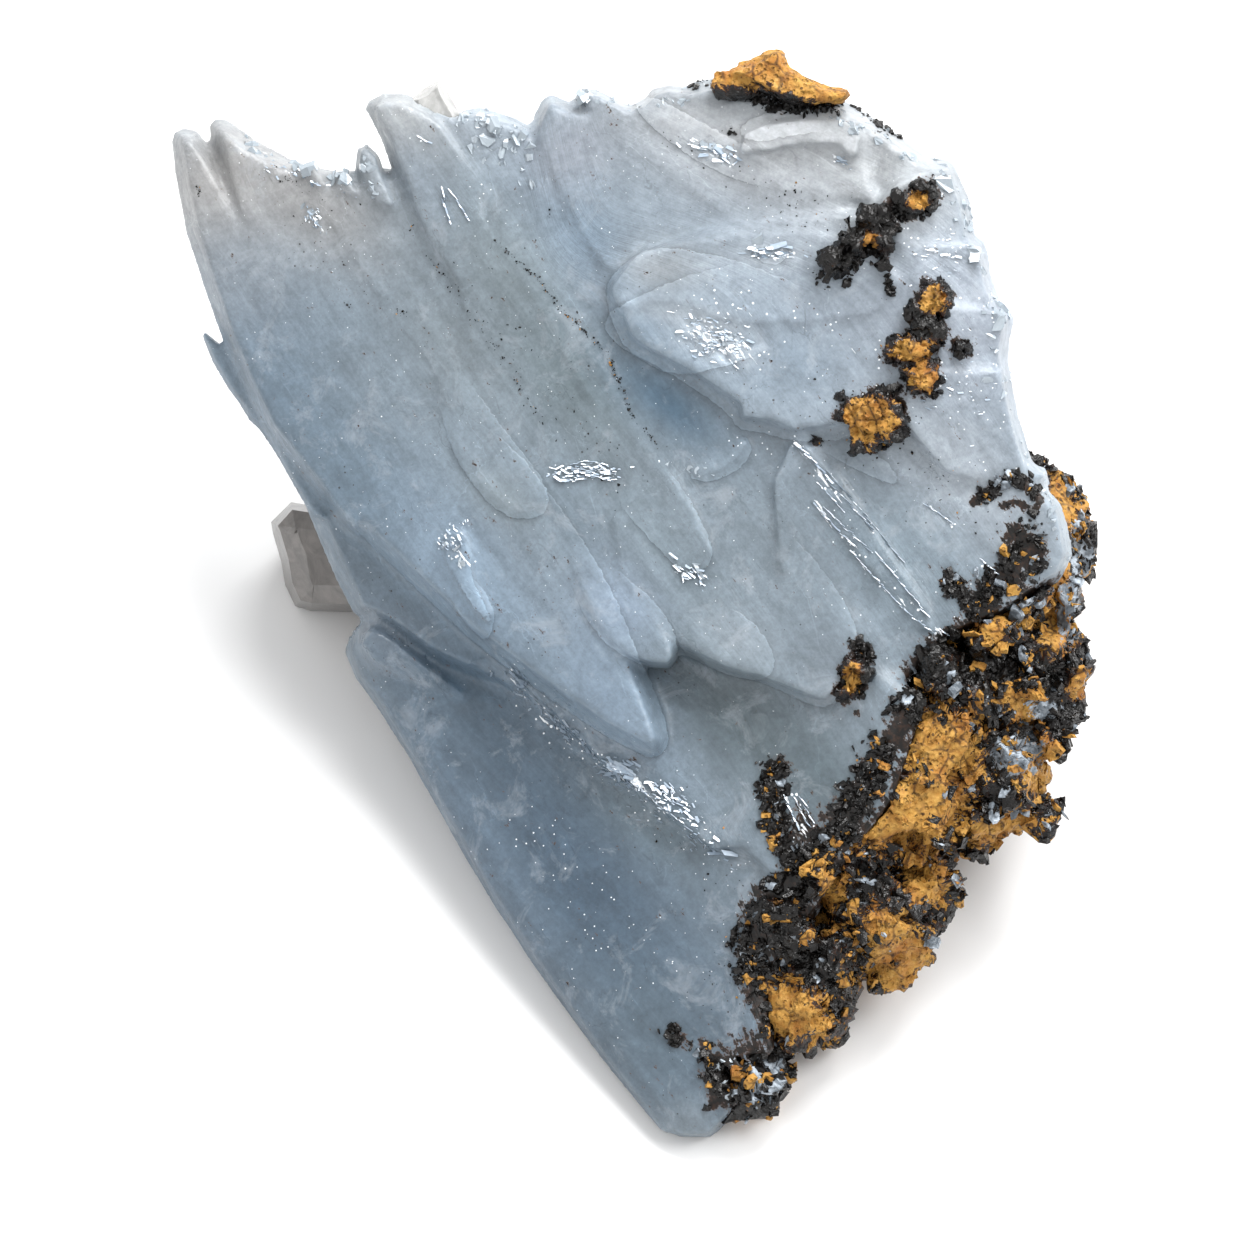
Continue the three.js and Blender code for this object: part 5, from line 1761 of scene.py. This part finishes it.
    def build(self, ground: Ground) -> Skin:
        """Makes all the flakes as one mesh."""
        chance = np.random.default_rng(self.seed)
        corners = self._clustered(ground, chance) + self._streaked(ground, chance)
        sides = ((0, 1, 2, 3), (4, 7, 6, 5), (0, 4, 5, 1), (1, 5, 6, 2), (2, 6, 7, 3), (3, 7, 4, 0))
        faces = [tuple(i + 8 * n for i in side) for n in range(len(corners) // 8) for side in sides]
        return Skin(new_piece("bright_flakes", [tuple(corner * MM) for corner in corners], faces))


@dataclass
class LimoniteCap:
    """The orange cap on the upper edge, black underneath.

    Attributes:
        grain: width of the mesh's faces in mm
        underside: points on the sheet along the line where its orange ends, in mm
    """

    grain: float = 0.22
    underside: tuple[Point, ...] = ((72, 8.0), (78, 8.0), (82, 10.2), (85, 10.4))

    def build(self, solid: bpy.types.Object) -> Skin:
        """Makes the cap from its solid."""
        skin = Skin.grown([solid], "cap_crust", self.grain, 1)
        points = skin.points
        skin.push(Noise(307).facets(points, 2.6) * 0.22 + Noise(311).facets(points, 0.9) * 0.12)
        spots = SHEET.locate(skin.points)
        below = spots[:, 1] - np.interp(spots[:, 0], *zip(*self.underside))
        skin.write("ochre", np.clip(0.75 - 0.35 * below, 0.1, 0.95))
        skin.write("spar", np.zeros(len(points)))
        skin.write("crest", skin.bulge(6))
        skin.shade_smooth()
        return skin


@dataclass
class StandingCrystal:
    """A clear crystal with flat faces and slightly worn edges.

    Attributes:
        node: the name of its solid
        name: the finished piece's name
        wear: width of the worn edges in mm
        finish: its material
    """

    node: str
    name: str
    wear: float
    finish: ClearFinish

    def build(self, solid: bpy.types.Object) -> Skin:
        """Makes the crystal from its solid."""
        piece = bpy.data.objects.new(self.name, solid.data.copy())
        bpy.context.scene.collection.objects.link(piece)
        weld = piece.modifiers.new("weld", "WELD")
        weld.merge_threshold = 0.01 * MM
        flat = piece.modifiers.new("faces", "DECIMATE")
        flat.decimate_type = "DISSOLVE"
        flat.angle_limit = math.radians(3.0)
        wear = piece.modifiers.new("wear", "BEVEL")
        wear.width = self.wear * MM
        wear.segments = 2
        wear.limit_method = "ANGLE"
        wear.angle_limit = math.radians(12.0)
        triangles = piece.modifiers.new("triangles", "TRIANGULATE")
        triangles.min_vertices = 5
        skin = Skin(piece)
        skin.settle()
        return skin


SMOKY = ClearFinish("smoky", (0.44, 0.42, 0.405), roughness=0.3, clearness=0.15, depth=0.7)
CLEAR = ClearFinish("clear", (0.84, 0.84, 0.83), roughness=0.2, clearness=0.5)
GLASSY = ClearFinish("glassy_barite", (0.72, 0.765, 0.80), roughness=0.2, clearness=0.3, depth=0.9)
STANDING_CRYSTALS = (
    StandingCrystal("smoky_crystal", "smoky_prism", 0.09, SMOKY),
    StandingCrystal("clear_crystal", "clear_prism", 0.08, CLEAR),
)


@dataclass
class Studio:
    """A plain pale floor, soft light from above the back edge, and the camera at the eye.

    Attributes:
        floor_size: width of the floor in m
        sky: strength of the light from all round
        key: strength of the soft box behind the specimen, in W
        side: strength of the soft box at its right, in W
        fill: strength of the weak box in front, in W
    """

    floor_size: float = 6.0
    sky: float = 0.85
    key: float = 7.5
    side: float = 3.5
    fill: float = 0.75

    def camera(self) -> None:
        """Sets the camera at the eye, with the whole sheet in its frame."""
        lens = bpy.data.cameras.new("camera")
        lens.sensor_width = 36.0
        lens.lens = lens.sensor_width / 2.0 / (SHEET.middle / SHEET.distance)
        lens.clip_start, lens.clip_end = 0.05, 20.0
        camera = bpy.data.objects.new("camera", lens)
        camera.location = Vector(SHEET.eye * MM)
        camera.rotation_euler = (math.radians(SHEET.lean), 0.0, 0.0)
        bpy.context.scene.collection.objects.link(camera)
        bpy.context.scene.camera = camera

    def _soft_box(self, name: str, place: Point3, size: float, power: float) -> None:
        """Hangs one square light that faces the specimen."""
        light = bpy.data.lights.new(name, "AREA")
        light.shape = "SQUARE"
        light.size = size
        light.energy = power
        lamp = bpy.data.objects.new(name, light)
        lamp.location = place
        way = Vector((0.0, 0.0, 0.02)) - Vector(place)
        lamp.rotation_euler = way.to_track_quat("-Z", "Y").to_euler()
        bpy.context.scene.collection.objects.link(lamp)

    def build(self) -> None:
        """Lays the floor and sets the lights."""
        half = self.floor_size / 2.0
        corners = [(-half, -half, 0), (half, -half, 0), (half, half, 0), (-half, half, 0)]
        floor = new_piece("floor", corners, [(0, 1, 2, 3)])
        w = Wiring("floor")
        tone = w.blend(w.noise(120.0, 2.0), (0.86, 0.86, 0.86), (0.88, 0.88, 0.88))
        floor.data.materials.append(w.finish(Base_Color=tone, Roughness=0.7, Specular_IOR_Level=0.1))
        floor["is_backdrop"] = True
        world = bpy.data.worlds.new("sky")
        world.use_nodes = True
        sky = world.node_tree.nodes["Background"]
        sky.inputs["Color"].default_value = (1.0, 1.0, 1.0, 1.0)
        sky.inputs["Strength"].default_value = self.sky
        bpy.context.scene.world = world
        self._soft_box("key", (0.18, 0.42, 0.62), 0.42, self.key)
        self._soft_box("side", (0.5, 0.03, 0.72), 0.34, self.side)
        self._soft_box("fill", (-0.6, -0.4, 0.5), 0.5, self.fill)
        bpy.context.scene.view_settings.view_transform = "Standard"


class Slot(Enum):
    """The record's material slots."""

    BARITE = "barite"
    ROCK = "matrix_rock"
    CAP = "limonite"
    SMOKY = "smoky_crystal"
    CLEAR = "clear_crystal"
    CRUST = "crust"


@dataclass
class Specimen:
    """Builds and dresses the whole object around its solids.

    Attributes:
        low: lowest corner of the solids' box in mm
        high: highest corner of the solids' box in mm
        rock_finish: the material of the rock, the crusts and their chips
    """

    frame: dict
    low: np.ndarray
    high: np.ndarray
    rock_finish: RockFinish = field(default_factory=RockFinish)

    def place(self, skin: Skin, slot: Slot, material: bpy.types.Material, *nodes: str) -> None:
        """Fixes a finished piece to the specimen.

        Args:
            skin: the piece
            slot: the record's material slot that it stands for; not used
            material: its material
            nodes: the solids that it stands for
        """
        skin.keep_inside(self.low, self.high)
        skin.mesh.materials.append(material)
        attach(skin.piece, "root")
        if nodes:
            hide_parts(*nodes)
        LOG.info("%s: %d faces", skin.piece.name, len(skin.mesh.polygons))

    def build(self) -> None:
        """Builds every piece in order."""
        nodes = self.frame["nodes"]
        rock_tree = search_tree([nodes["matrix"]])
        crust_tree = search_tree([nodes[patch.node] for patch in CRUST_PATCHES])
        fan = BariteFan().build(nodes["barite_fan"], Soiling(), rock_tree, crust_tree)
        self.place(fan, Slot.BARITE, BariteFinish().build(), "barite_fan")
        matrix = IronRock()
        rock = matrix.build(nodes["matrix"])
        oxide = self.rock_finish.build()
        self.place(rock, Slot.ROCK, oxide, "matrix")
        for patch in CRUST_PATCHES:
            self.place(patch.build(nodes[patch.node]), Slot.CRUST, oxide, patch.node)
        self.place(LimoniteCap().build(nodes["limonite_cap"]), Slot.CAP, oxide, "limonite_cap")
        ground = Ground(fan=fan, rock=rock)
        for heap in Dirt().build(ground, matrix):
            self.place(heap, Slot.CRUST, oxide)
        self.place(Flakes().build(ground), Slot.BARITE, FlakeFinish().build())
        self.place(Knobs().build(ground), Slot.BARITE, GLASSY.build())
        for crystal in STANDING_CRYSTALS:
            slot = Slot.SMOKY if crystal.node == "smoky_crystal" else Slot.CLEAR
            self.place(crystal.build(nodes[crystal.node]), slot, crystal.finish.build(), crystal.node)


def main() -> None:
    """Builds the specimen and its studio."""
    logging.basicConfig(level=logging.INFO, format="%(message)s")
    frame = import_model()
    solid_low, solid_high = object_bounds()
    studio = Studio()
    studio.camera()
    Specimen(frame, np.array(solid_low) / MM, np.array(solid_high) / MM).build()
    studio.build()


if __name__ == "__main__":
    main()
